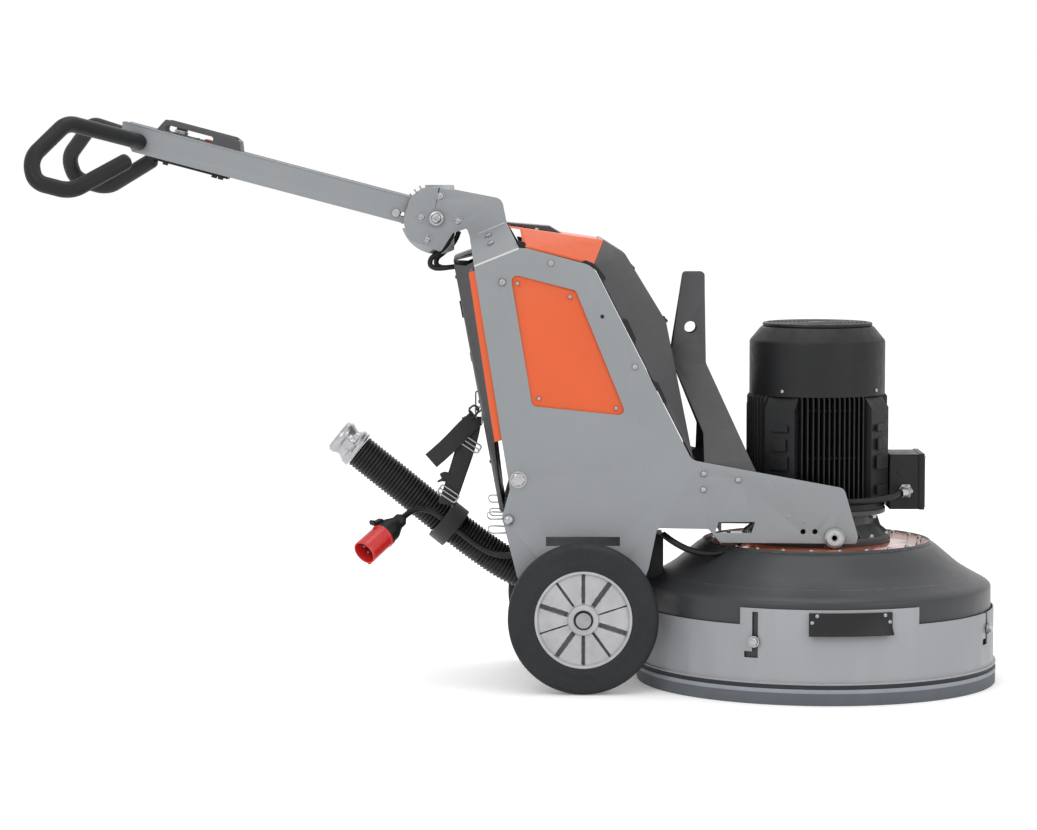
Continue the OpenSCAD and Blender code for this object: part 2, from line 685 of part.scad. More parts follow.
module motor_adapter() {
    color([0.55, 0.56, 0.58]) difference() {
        union() {
            at_head() {
                translate([0, 0, head_top]) cylinder(h = 18, r = 172);
                translate([0, 0, head_top + 18]) cylinder(h = 26, r1 = 166, r2 = 136);
                translate([0, 0, head_top + 40]) cylinder(h = 28, r = 136);
                translate([0, 0, motor_base - 12]) cylinder(h = 12, r = 160);
            }
            both_sides() {
                rod_y(tip, 22, -lug_y, -130);
                block([tip[0] - 22, tip[0] + 22], [-lug_y, -130], [head_top, tip[1]]);
            }
        }
        at_head() translate([0, 0, head_top - 1]) cylinder(h = 100, r = 90);
        both_sides() rod_y(tip, 12 + run_gap, -half_w, -lug_y + 22.5);
    }
}
module motor_housing() {
    body_top = 670;
    color([0.13, 0.13, 0.14]) at_head() difference() {
        union() {
            translate([0, 0, motor_base]) cylinder(h = 16, r = 158);
            translate([0, 0, motor_base]) cylinder(h = body_top - motor_base, r = 134);
            for (i = [0:fins - 1]) rotate([0, 0, (i + 0.5) * 360 / fins])
                translate([130, -1.75, motor_base + 14]) cube([fin_r - 130, 3.5, body_top - motor_base - 24]);
            for (a = [45:90:315]) rotate([0, 0, a]) translate([128, -26, motor_base + 26])
                cube([28, 52, body_top - motor_base - 60]);
        }
        translate([0, 0, motor_base + 30]) cylinder(h = body_top - motor_base - 50, r = 96);
        translate([0, 0, motor_base - 1]) cylinder(h = 300, r = shaft_r + run_gap);
        translate([0, 0, motor_base - 1]) cylinder(h = 8, r = 90);
    }
}
// Fan cowl with a slotted top
module fan_cowl() {
    r = cowl_d / 2;
    color([0.14, 0.14, 0.15]) at_head() difference() {
        rotate_extrude($fn = 96) polygon([[0, motor_top - 3], [r - 32, motor_top - 3], [r - 3, motor_top - 44],
            [r - 3, 672], [r, 672], [r, motor_top - 42], [r - 30, motor_top], [0, motor_top]]);
        for (i = [0:5], a = [0:45:315]) rotate([0, 0, a + 4]) translate([28 + 16 * i, -(7 + 4.6 * i), motor_top - 5])
            cube([9, 14 + 9.2 * i, 7]);
    }
}
module terminal_box() {
    color([0.14, 0.14, 0.15]) at_head() {
        difference() {
            block([fin_r, 232], [-66, 66], [401, 528]);
            block([fin_r + 5, 240], [-60, 60], [407, 522]);
            translate([200, -60, 444]) rotate([90, 0, 0]) cylinder(h = 8, r = 9);
        }
        block([232, 244], [-68, 68], [400, 530]);
    }
}
module motor_conduit() {
    color([0.55, 0.55, 0.56]) at_head() translate([200, -66, 444]) rotate([90, 0, 0]) cylinder(h = 16, r = 13);
    color([0.13, 0.13, 0.14]) swept(smooth(concat([[head_x + 200, -82, 444]], conduit_route), 3), 7.5, 10);
}
// Rail inside the cover that the friction wheels of the planets roll in
module ring_track() {
    color([0.6, 0.6, 0.62]) at_head() {
        ring(track_r + 8, track_r, 138, 158);
        ring(cover_r - cover_t - 0.1, track_r + 8, 152, 158);
    }
}
// Four bolts on the cover that the skirt's slots slide on
guide_angles = [-114, -24, 66, 156];
module skirt_guides() {
    color([0.3, 0.3, 0.31]) at_head() for (a = guide_angles) rotate([0, 0, a])
        translate([cover_r, 0, guide_z]) rotate([0, 90, 0]) {
            translate([0, 0, 0.02]) cylinder(h = 9, r = 6);
            translate([0, 0, 9]) cylinder(h = 5, r = 12);
        }
}

// Rotating parts of the drive
belt_z = [156, 174, 191];
module motor_rotor() {
    color([0.7, 0.7, 0.72]) at_head() {
        translate([0, 0, 104]) cylinder(h = 690, r = shaft_r);
        translate([0, 0, belt_z[0] - 4]) cylinder(h = belt_z[2] - belt_z[0] + 24, r = sun_r);
        translate([0, 0, motor_base + 70]) cylinder(h = 140, r = 92);
        translate([0, 0, 690]) cylinder(h = 6, r = cowl_d / 2 - 30);
        for (a = [0:60:300]) rotate([0, 0, a]) translate([20, -2, 695]) cube([cowl_d / 2 - 55, 4, 50]);
    }
}
module planet_carrier() {
    color([0.5, 0.51, 0.53]) at_head() difference() {
        union() {
            translate([0, 0, 112]) cylinder(h = 14, r = planet_r + 62);
            translate([0, 0, 104]) cylinder(h = 46, r = shaft_r + 22);
            for (k = [0:2]) rotate([0, 0, 120 * k]) translate([planet_r, 0, 50])
                cylinder(h = 84, r = spindle_r + 22);
        }
        translate([0, 0, 90]) cylinder(h = 80, r = shaft_r + run_gap);
        for (k = [0:2]) rotate([0, 0, 120 * k]) {
            translate([planet_r, 0, 40]) cylinder(h = 110, r = spindle_r + run_gap);
            rotate([0, 0, 60]) translate([planet_r - 60, 0, 100]) cylinder(h = 40, r = 60);
        }
    }
}
module belt_loop(r1, r2) {
    hull() {
        circle(r = r1, $fn = 48);
        translate([planet_r, 0]) circle(r = r2, $fn = 48);
    }
}
module drive_belts() {
    color([0.1, 0.1, 0.11]) at_head() for (k = [0:2]) rotate([0, 0, 120 * k]) translate([0, 0, belt_z[k]])
        linear_extrude(14) difference() {
            belt_loop(sun_r + 0.4 + belt_t, planet_pulley_r + 0.4 + belt_t);
            belt_loop(sun_r + 0.4, planet_pulley_r + 0.4);
        }
}
module planet_spindle(k) {
    color([0.65, 0.65, 0.67]) at_planet(k) {
        translate([0, 0, 32]) cylinder(h = 190, r = spindle_r);
        translate([0, 0, 32]) cylinder(h = 12, r = 60);
        translate([0, 0, 140]) cylinder(h = 14, r = wheel_r_in);
        translate([0, 0, belt_z[k] - 1]) cylinder(h = 16, r = planet_pulley_r);
    }
}
module planet_spindle_1() {
    planet_spindle(0);
}
module planet_spindle_2() {
    planet_spindle(1);
}
module planet_spindle_3() {
    planet_spindle(2);
}
module grinding_disc(k) {
    color([0.75, 0.2, 0.15]) at_planet(k) {
        translate([0, 0, 12]) cylinder(h = 14, r = disc_d / 2);
        translate([0, 0, 26]) cylinder(h = 6, r = 60);
        for (i = [0:segments - 1]) rotate([0, 0, 360 / segments * i])
            translate([disc_d / 2 - 52, -6, 0]) cube([44, 12, 13]);
    }
}
module grinding_disc_1() {
    grinding_disc(0);
}
module grinding_disc_2() {
    grinding_disc(1);
}
module grinding_disc_3() {
    grinding_disc(2);
}

// Dust skirt, which slides up and down on the head
band_low = 50;
band_top = band_low + band_h;
tab_half = 29;
module skirt_band() {
    tab_top = band_top + 38;
    r = skirt_r;
    open_half = 90 - tab_half;
    color([0.63, 0.63, 0.65]) at_head() difference() {
        rotate_extrude($fn = 128) polygon([[r - 12, band_low - 4], [r, band_low - 4], [r, band_low],
            [r - 6, band_low], [r - 6, tab_top], [r - 9.5, tab_top], [r - 9.5, band_low], [r - 12, band_low]]);
        for (a = [0, 180]) rotate([0, 0, a]) translate([0, 0, band_top]) linear_extrude(60)
            polygon([[0, 0], [900 * cos(open_half), -900 * sin(open_half)], [1600, 0],
                     [900 * cos(open_half), 900 * sin(open_half)]]);
        for (a = guide_angles) rotate([0, 0, a]) translate([r - 14, 0, 0]) {
            translate([0, -7, guide_z - skirt_up - 8]) cube([12, 14, tab_top - guide_z + skirt_up]);
            translate([0, -26, guide_z - skirt_up - 12]) cube([12, 33, 14]);
        }
    }
}
module brush_ring() {
    color([0.41, 0.43, 0.45]) at_head() {
        ring(skirt_r, skirt_r - 12, 27, band_low - 4);
        ring(skirt_r - 1, skirt_r - 9, 0, 27);
    }
}
module skirt_grips() {
    r = skirt_r - 6;
    color([0.12, 0.12, 0.13]) at_head() for (a = [-97, 83]) rotate([0, 0, a]) rotate_extrude(angle = 26)
        polygon([[r, 178], [r + 4, 178], [r + 4, 170], [r + 16, 156], [r + 19, 158], [r + 8, 174],
                 [r + 8, 207], [r, 207]]);
}

// Hose, lead and strap
module vacuum_hose() {
    color([0.12, 0.12, 0.13]) swept(smooth(hose_route, 3), hose_d / 2, 12);
}
module hose_coupling() {
    r = hose_d / 2;
    color([0.75, 0.75, 0.76]) on_hose_end() difference() {
        union() {
            cylinder(h = 14, r = r + 5);
            translate([0, 0, 14]) cylinder(h = 48, r = r);
            for (s = [-1, 1]) translate([-11, s * (r + 4) - 6, 24]) cube([22, 12, 32]);
        }
        translate([0, 0, 5]) cylinder(h = 60, r = r - 8);
    }
}
plug_at = lead_route[len(lead_route) - 1];
plug_dir = unit([-0.58, -0.66, -0.475]);
module mains_plug() {
    r = plug_d / 2;
    color([0.84, 0.18, 0.17]) translate(plug_at) rotate([0, acos(plug_dir[2]), bearing_of(plug_dir)])
        difference() {
            union() {
                cylinder(h = 25, r = 16);
                translate([0, 0, 25]) cylinder(h = 20, r1 = 18, r2 = r - 2);
                translate([0, 0, 45]) cylinder(h = 99, r = r - 1);
                translate([0, 0, 65]) cylinder(h = 14, r = r);
            }
            translate([0, 0, 92]) cylinder(h = 60, r = r - 4);
        }
}
module mains_lead() {
    color([0.1, 0.1, 0.11]) swept(smooth(lead_route, 3), lead_d / 2, 10);
}
// Webbing strap from the rear panel to the hose, with its free tail, and the loop round hose and lead
strap_band = [[-181, 437], [-145, 420], [-80, 595], [-92, 626], [-104, 622]];
strap_tail = [[-104, 622], [-94, 600], [-193, 501], [-212, 529]];
module strap() {
    color([0.1, 0.1, 0.11]) {
        translate([-163, -8, 362]) rotate([0, -atan2(-hose_axis[0], hose_axis[2]), 0]) difference() {
            translate([0, 0, -20]) linear_extrude(40) resize([102, 128]) circle(r = 50);
            translate([0, 0, -21]) linear_extrude(42) resize([96, 122]) circle(r = 47);
        }
        along_y(-72, -69) polygon(strap_band);
        along_y(-72, -69) polygon(strap_tail);
    }
}

side_plate_right();
side_plate_left();
cross_members();
fasteners();
pivot_pins();
index_plate();
hood_top();
hood_front();
rear_panel();
side_cover_right();
side_cover_left();
drive_unit();
lifting_bracket();
axle_shaft();
cable_gland();
pivot_cables();
rim_right();
rim_left();
tyre_right();
tyre_left();
handle_beam();
handlebar();
grip_right();
grip_left();
guard_bracket();
control_pod();
speed_knob();
emergency_stop();
cable_duct();
lock_pin();
start_button();
stop_button();
main_switch();
head_plate();
head_cover();
dust_port();
motor_adapter();
motor_housing();
fan_cowl();
terminal_box();
motor_conduit();
ring_track();
skirt_guides();
motor_rotor();
planet_carrier();
drive_belts();
planet_spindle_1();
planet_spindle_2();
planet_spindle_3();
grinding_disc_1();
grinding_disc_2();
grinding_disc_3();
skirt_band();
brush_ring();
skirt_grips();
vacuum_hose();
hose_coupling();
mains_lead();
mains_plug();
strap();
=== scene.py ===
"""Walk-behind planetary concrete grinder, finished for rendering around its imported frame.

Every length below is in metres unless a name or comment says millimetres.
+X is the front, -Y is the right-hand side and +Z is up.
"""

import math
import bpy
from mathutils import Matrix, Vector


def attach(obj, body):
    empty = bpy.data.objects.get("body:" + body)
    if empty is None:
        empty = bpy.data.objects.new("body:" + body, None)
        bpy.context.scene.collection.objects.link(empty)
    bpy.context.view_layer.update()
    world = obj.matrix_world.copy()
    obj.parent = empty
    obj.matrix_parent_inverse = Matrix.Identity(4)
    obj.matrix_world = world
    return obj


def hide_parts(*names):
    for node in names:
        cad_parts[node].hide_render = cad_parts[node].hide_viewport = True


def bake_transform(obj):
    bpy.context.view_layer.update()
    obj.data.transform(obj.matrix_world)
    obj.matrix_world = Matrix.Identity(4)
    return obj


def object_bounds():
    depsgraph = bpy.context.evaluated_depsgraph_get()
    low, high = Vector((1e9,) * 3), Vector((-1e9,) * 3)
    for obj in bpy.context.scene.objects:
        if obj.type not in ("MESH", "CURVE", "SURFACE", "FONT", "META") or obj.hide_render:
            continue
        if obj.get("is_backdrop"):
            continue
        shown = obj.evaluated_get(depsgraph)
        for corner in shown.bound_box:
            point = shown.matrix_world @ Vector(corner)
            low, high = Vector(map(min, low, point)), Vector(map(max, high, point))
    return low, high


bl_info = {
    "name": "Concrete Grinder",
    "version": (1, 0, 0),
    "blender": (4, 5, 0),
    "location": "View3D > Sidebar > Grinder",
    "description": "Builds the finished surfaces of a walk-behind concrete grinder",
    "category": "Object",
}

import bmesh
import bpy
import numpy as np
from bpy.props import FloatProperty, FloatVectorProperty, IntProperty, PointerProperty
from bpy.types import Operator, Panel, PropertyGroup

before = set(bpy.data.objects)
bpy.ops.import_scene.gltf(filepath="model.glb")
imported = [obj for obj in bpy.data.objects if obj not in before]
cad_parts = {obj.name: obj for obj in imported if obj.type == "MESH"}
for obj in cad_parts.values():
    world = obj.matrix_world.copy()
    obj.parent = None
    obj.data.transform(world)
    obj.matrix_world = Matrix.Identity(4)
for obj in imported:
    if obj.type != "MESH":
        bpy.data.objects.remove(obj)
CAD_BOX = [list(corner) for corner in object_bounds()]

MM = 0.001
PIVOT = np.array([-190.0, 0.0, 1072.0]) * MM
AXLE = np.array([145.0, 0.0, 171.0]) * MM
TIP = np.array([716.0, 0.0, 350.0]) * MM
HEAD = np.array([692.0, 0.0, 0.0]) * MM
BEAM_SLOPE = math.radians(14.8)
BEAM_HALF = 54.0
BEAM_TOP = 31.0
PANEL_TOP = np.array([-150.0, 0.0, 979.0]) * MM
PANEL_TILT = math.radians(10.45)
X, Y, Z = np.eye(3)
RIGHT = -Y
LEFT = Y


# ---------------------------------------------------------------- sizes and colours
def paint(red, green, blue):
    """Linear colour of a display colour given from 0 to 255."""
    c = np.array([red, green, blue]) / 255.0
    linear = np.where(c <= 0.04045, c / 12.92, ((c + 0.055) / 1.055) ** 2.4)
    return tuple(float(v) for v in linear)


def colour(name, description, default):
    """A colour that a user may change."""
    return FloatVectorProperty(name=name, description=description, default=paint(*default),
                               subtype="COLOR", size=3, min=0.0, max=1.0)


def length(name, description, default):
    """A length that a user may change, with its default in millimetres."""
    return FloatProperty(name=name, description=description, default=default * MM,
                         unit="LENGTH", subtype="DISTANCE", min=0.0, precision=4)


class GrinderColours(PropertyGroup):
    grey: colour("Grey paint", "Powder coat of the side plates and the beam", (146, 149, 152))
    orange: colour("Orange paint", "Powder coat of the hood top and the side covers", (226, 96, 48))
    dark: colour("Dark paint", "Powder coat of the hood front and the brackets", (76, 76, 78))
    head: colour("Head cover", "Glossy paint of the head cover", (62, 63, 66))
    copper: colour("Head plate", "Paint of the plate on top of the head", (206, 110, 72))
    band: colour("Skirt band", "Paint of the steel band of the dust skirt", (160, 161, 165))
    skirt: colour("Skirt foot", "Foam and bristle at the foot of the skirt", (100, 104, 110))
    tyre: colour("Tyre", "Solid rubber of the wheels", (44, 47, 49))
    rubber: colour("Rubber", "Handle sleeves, hose and seals", (28, 29, 31))
    motor: colour("Motor", "Paint of the motor", (27, 28, 30))
    plug: colour("Plug", "Body of the mains plug", (206, 36, 34))


class GrinderSizes(PropertyGroup):
    hose_pitch: length("Hose pitch", "Distance between two ribs of the hose", 8.5)
    hose_rib: length("Hose rib", "Depth of the groove between two ribs", 3.2)
    groove_depth: length("Rim groove", "Depth of the grooves between the panels of a rim", 15.0)
    tyre_ridge: length("Tyre ridge", "Height of the moulding line on the tyre's wall", 0.7)
    grille_rings: IntProperty(name="Grille rings", description="Rings in the motor's grille",
                              default=11, min=4, max=20)
    strap_width: length("Strap width", "Width of the webbing strap", 40.0)


class GrinderStudio(PropertyGroup):
    distance: length("Camera distance", "Distance of the camera from the middle plane", 7840.0)
    height: length("Camera height", "Height of the camera above the floor", 1242.0)
    pitch: FloatProperty(name="Camera pitch", description="How far the camera looks down",
                         default=math.radians(4.579), subtype="ANGLE")
    lens: FloatProperty(name="Lens", description="Focal length in millimetres on a 36 mm sensor",
                        default=117.47, min=20.0)
    key: FloatProperty(name="Key light", description="Power of the large soft key light",
                       default=110.0, min=0.0, unit="POWER")
    sky: FloatProperty(name="Sky", description="Strength of the even light all round",
                       default=1.0, min=0.0)
    floor: colour("Floor", "Pale floor", (243, 243, 243))
    floor_glow: FloatProperty(name="Floor glow",
                              description="Light that the pale floor gives back of its own",
                              default=0.16, min=0.0, max=1.0)


def colours():
    return bpy.context.scene.grinder_colours


def sizes():
    return bpy.context.scene.grinder_sizes


def studio():
    return bpy.context.scene.grinder_studio


# ---------------------------------------------------------------- vectors and paths
def unit(v):
    """Vectors over the last index, each divided by its own length."""
    v = np.asarray(v, float)
    return v / np.linalg.norm(v, axis=-1, keepdims=True)


def across(axis):
    """Two unit vectors square to an axis and to each other, the first as level as can be."""
    axis = unit(axis)
    level = np.cross(Z, axis) if abs(axis[2]) < 0.95 else np.cross(axis, X)
    first = unit(level)
    return first, np.cross(axis, first)


def smooth(points, steps=6):
    """A smooth curve through points in millimetres.

    Between two points the place is a cubic in f of those two and their neighbours."""
    p = np.array(points, float) * MM
    q = np.vstack([p[:1], p, p[-1:]])
    a, b, c, d = (s[:, None] for s in (q[:-3], q[1:-2], q[2:-1], q[3:]))
    f = (np.arange(steps) / steps)[None, :, None]
    curve = 0.5 * (2 * b + (c - a) * f + (2 * a - 5 * b + 4 * c - d) * f ** 2
                   + (3 * b - a - 3 * c + d) * f ** 3)
    return np.vstack([curve.reshape(-1, 3), p[-1:]])


def run(path):
    """Distance along a path at each of its points."""
    return np.concatenate([[0.0], np.cumsum(np.linalg.norm(np.diff(path, axis=0), axis=1))])


def even(path, count):
    """The same path with its points at equal distances."""
    along = run(path)
    at = np.linspace(0.0, along[-1], count)
    return np.stack([np.interp(at, along, path[:, k]) for k in range(3)], -1)


def bent(corners, radii, steps=7):
    """Straight runs between corner points in millimetres, with a round bend of a radius at each.

    A bend of radius r starts r·tan(half the turn) before its corner and is an arc about a centre."""
    p = np.array(corners, float) * MM
    out = [p[0]]
    for k in range(1, len(p) - 1):
        u, v = unit(p[k - 1] - p[k]), unit(p[k + 1] - p[k])
        half = math.acos(float(np.clip(u @ v, -1, 1))) / 2
        r = radii[k - 1] * MM
        centre = p[k] + unit(u + v) * r / math.sin(half)
        first, last = p[k] + u * r / math.tan(half) - centre, p[k] + v * r / math.tan(half) - centre
        turn = math.pi - 2 * half
        f = np.linspace(0, 1, steps)[:, None]
        out.extend(centre + (np.sin((1 - f) * turn) * first + np.sin(f * turn) * last) / math.sin(turn))
    out.append(p[-1])
    return np.array(out)


def in_handle(points):
    """Points in millimetres in the beam's own frame, taken to the machine's frame in metres."""
    p = np.atleast_2d(np.array(points, float)) * MM
    c, s = math.cos(BEAM_SLOPE), math.sin(BEAM_SLOPE)
    return PIVOT + np.stack([c * p[:, 0] + s * p[:, 2], p[:, 1], c * p[:, 2] - s * p[:, 0]], -1)


def on_panel(out, y, down):
    """A point on the sloping rear panel: out of it, across it and down it, in millimetres."""
    c, s = math.cos(PANEL_TILT), math.sin(PANEL_TILT)
    return PANEL_TOP + (out * np.array([-c, 0, -s]) + y * Y + down * np.array([s, 0, -c])) * MM


PANEL_OUT = np.array([-math.cos(PANEL_TILT), 0.0, -math.sin(PANEL_TILT)])
BEAM_ALONG = np.array([math.cos(BEAM_SLOPE), 0.0, -math.sin(BEAM_SLOPE)])
BEAM_UP = np.array([math.sin(BEAM_SLOPE), 0.0, math.cos(BEAM_SLOPE)])


# ---------------------------------------------------------------- surfaces
def grid(points, wrap_u=False, wrap_v=False):
    """Quads over an array of points with two indices; a wrapped index joins its end to its start.

    Each corner also gets a place (u, v), the distance along and across the array in metres."""
    n, m = points.shape[:2]
    i = np.arange(n if wrap_u else n - 1)
    j = np.arange(m if wrap_v else m - 1)
    corner = lambda a, b: ((i + a) % n)[:, None] * m + ((j + b) % m)[None, :]
    faces = np.stack([corner(0, 0), corner(1, 0), corner(1, 1), corner(0, 1)], -1).reshape(-1, 4)
    du = np.linalg.norm(np.diff(points, axis=0, append=points[:1]), axis=-1).mean(1)
    dv = np.linalg.norm(np.diff(points, axis=1, append=points[:, :1]), axis=-1).max(0)
    u = np.concatenate([[0], np.cumsum(du)])
    v = np.concatenate([[0], np.cumsum(dv)])
    place = lambda a, b: np.stack(np.broadcast_arrays(u[i + a][:, None], v[j + b][None, :]), -1)
    uv = np.stack([place(0, 0), place(1, 0), place(1, 1), place(0, 1)], 2).reshape(-1, 4, 2)
    return points.reshape(-1, 3), faces.tolist(), uv.reshape(-1, 2)


def revolve(profile, at, axis, steps=48, start=0.0, sweep=2 * math.pi):
    """A profile of (radius, height) turned about an axis.

    The point is at + height·axis + radius·(cos a·n + sin a·b). A third number of 1 in a row
    makes that row a hexagon: its radius, half the width across flats, is divided by the cosine
    of the angle from the nearest flat. Profile and angles in full turns close on themselves."""
    rows = np.array([tuple(r) + (0,) * (3 - len(r)) for r in profile], float)
    whole = abs(sweep - 2 * math.pi) < 1e-9
    a = start + np.linspace(0, sweep, steps, endpoint=not whole)
    n, b = across(axis)
    flat = 1 / np.cos(np.mod(a - start, math.pi / 3) - math.pi / 6)
    radius = rows[:, :1] * (1 + rows[:, 2:3] * (flat[None, :] - 1))
    spoke = np.cos(a)[:, None] * n + np.sin(a)[:, None] * b
    points = np.asarray(at) + (rows[:, 1:2, None] * unit(axis)
                               + radius[:, :, None] * spoke[None]) * MM
    closed = np.allclose(rows[0, :2], rows[-1, :2])
    points = points[:-1] if closed else points
    mesh = grid(points, wrap_u=closed, wrap_v=whole)
    if whole:
        return mesh
    m = steps
    ends = [[k * m for k in range(len(points))], [k * m + m - 1 for k in range(len(points))][::-1]]
    loose = np.zeros((2 * len(points), 2))
    return mesh[0], mesh[1] + ends, np.vstack([mesh[2], loose])


def tube(path, radius, sides=24):
    """A round section carried along a path: path + r·(cos a·n + sin a·b).

    n is square to the path and leans to the normal of the plane that fits the path best.
    Both ends close on the path."""
    t = unit(np.gradient(path, axis=0))
    lean = np.linalg.svd(path - path.mean(0))[2][2]
    n = unit(lean - t * (t @ lean)[:, None])
    b = np.cross(t, n)
    a = np.linspace(0, 2 * math.pi, sides, endpoint=False)
    r = np.broadcast_to(np.asarray(radius, float), len(path))
    ring = np.cos(a)[None, :, None] * n[:, None] + np.sin(a)[None, :, None] * b[:, None]
    body = path[:, None] + r[:, None, None] * ring
    ends = [np.repeat(path[k:k + 1, None], sides, 1) for k in (0, -1)]
    return grid(np.concatenate([ends[0][:1], body, ends[1][:1]]), wrap_v=True)


def ribbon(path, side, width, thick, crown=0.0):
    """A flat band carried along a path, its width along side and its thickness square to both.

    The section is a rounded rectangle of eight points; crown bows the band's middle outwards."""
    t = unit(np.gradient(path, axis=0))
    s = np.broadcast_to(np.asarray(side, float), path.shape)
    s = unit(s - t * (t * s).sum(1)[:, None])
    n = np.cross(t, s)
    x = np.array([-1, -0.94, -0.4, 0.4, 0.94, 1, 1, 0.94, 0.4, -0.4, -0.94, -1]) * width / 2
    y = np.array([0.4, 1, 1, 1, 1, 0.4, -0.4, -1, -1, -1, -1, -0.4]) * thick / 2
    y = y + crown * (1 - (x / (width / 2)) ** 2)
    body = path[:, None] + x[None, :, None] * s[:, None] + y[None, :, None] * n[:, None]
    v, faces, uv = grid(body, wrap_v=True)
    m = len(x)
    caps = [list(range(m))[::-1], [(len(path) - 1) * m + k for k in range(m)]]
    return v, faces + caps, np.vstack([uv, np.zeros((2 * m, 2))])


def prism(outline, at, right, up, depth):
    """A flat outline in millimetres drawn out by a depth: at + x·right + y·up + d·(right × up)."""
    p = np.array(outline, float)
    right, up = unit(right), unit(up)
    face = np.asarray(at) + (p[:, :1] * right + p[:, 1:] * up) * MM
    both = np.stack([face, face + np.cross(right, up) * depth * MM])
    v, faces, uv = grid(both, wrap_v=True)
    m = len(p)
    caps = [list(range(m))[::-1], [m + k for k in range(m)]]
    flat = np.vstack([p[::-1], p]) * MM
    return v, faces + caps, np.vstack([uv, flat])


def plate_xz(outline, y0, y1):
    """A flat outline in X and Z, in millimetres, between two depths in Y."""
    return prism(outline, [0, max(y0, y1) * MM, 0], X, Z, abs(y1 - y0))


def mirrored(part):
    """The same part on the other side of the machine."""
    return part[0] * np.array([1, -1, 1]), [f[::-1] for f in part[1]], _turned(part)


def _turned(part):
    """Corner places of a part whose faces are turned round."""
    out, k = [], 0
    for f in part[1]:
        out.append(part[2][k:k + len(f)][::-1])
        k += len(f)
    return np.vstack(out)


def rounded(corners, r, steps=4):
    """A closed outline with each corner cut to an arc of radius r, in the corners' own unit."""
    p = np.array(corners, float)
    before, after = np.roll(p, 1, 0), np.roll(p, -1, 0)
    u, v = unit(before - p), unit(after - p)
    half = np.arccos(np.clip((u * v).sum(1), -1, 1)) / 2
    reach = np.broadcast_to(np.asarray(r, float), len(p)) / np.tan(half)
    a, b = p + u * reach[:, None], p + v * reach[:, None]
    f = np.linspace(0, 1, steps + 1)[None, :, None]
    arc = (1 - f) ** 2 * a[:, None] + 2 * f * (1 - f) * p[:, None] + f ** 2 * b[:, None]
    return arc.reshape(-1, 2)


# ---------------------------------------------------------------- bolts and screws
def dome_bolt(at, axis, r):
    """A button head with a hexagon recess: a domed profile of radius r, sunk to a flat floor."""
    profile = [(0, 0.35 * r), (0.36 * r, 0.35 * r, 1), (0.36 * r, 0.72 * r, 1), (0.52 * r, 0.74 * r),
               (0.8 * r, 0.58 * r), (0.96 * r, 0.3 * r), (r, 0.12 * r), (r, -1.0), (0, -1.0)]
    return revolve(profile, at, axis, 24)


def hex_bolt(at, axis, r, h, washer=0.0):
    """A hexagon head of half width r and height h, chamfered, on a washer of the radius given."""
    profile = [(0, h), (0.82 * r, h), (0.95 * r, h - 0.12 * r, 1), (r, h - 0.28 * r, 1),
               (r, 1.4, 1), (washer or r, 1.4), (washer or r, -1.0), (0, -1.0)]
    return revolve(profile, at, axis, 24)


# ---------------------------------------------------------------- finishes
MATERIALS = {}
# Share of a paint's own lightness that is used, since the white studio lights it from all round
PAINT_DEPTH = 0.76


def node(tree, kind, **values):
    """A shader node with its plain settings and its unlinked inputs."""
    made = tree.nodes.new("ShaderNode" + kind)
    for key, value in values.items():
        if hasattr(made, key):
            setattr(made, key, value)
        else:
            made.inputs[key.replace("_", " ")].default_value = value
    return made


def noise(tree, place, scale, detail=3.0, rough=0.55):
    made = node(tree, "TexNoise")
    made.inputs["Scale"].default_value = scale
    made.inputs["Detail"].default_value = detail
    made.inputs["Roughness"].default_value = rough
    tree.links.new(place, made.inputs["Vector"])
    return made.outputs["Fac"]


def spread(tree, source, low, high, out_low, out_high):
    """A factor from low to high taken to a value from out_low to out_high."""
    made = node(tree, "MapRange")
    for key, value in zip(("From Min", "From Max", "To Min", "To Max"), (low, high, out_low, out_high)):
        made.inputs[key].default_value = value
    tree.links.new(source, made.inputs["Value"])
    return made.outputs["Result"]


def blended(tree, factor, first, second):
    """A colour between two, each a colour or another node's output."""
    made = node(tree, "Mix", data_type="RGBA")
    for key, value in (("A", first), ("B", second)):
        socket = [s for s in made.inputs if s.name == key and s.type == "RGBA"][0]
        if isinstance(value, bpy.types.NodeSocket):
            tree.links.new(value, socket)
        else:
            socket.default_value = (*value, 1.0)
    tree.links.new(factor, made.inputs[0])
    return [s for s in made.outputs if s.type == "RGBA"][0]


def scaled(colour_value, factor):
    """A colour made lighter or darker by a factor, kept below white."""
    return tuple(float(min(1.0, c * factor)) for c in colour_value[:3])


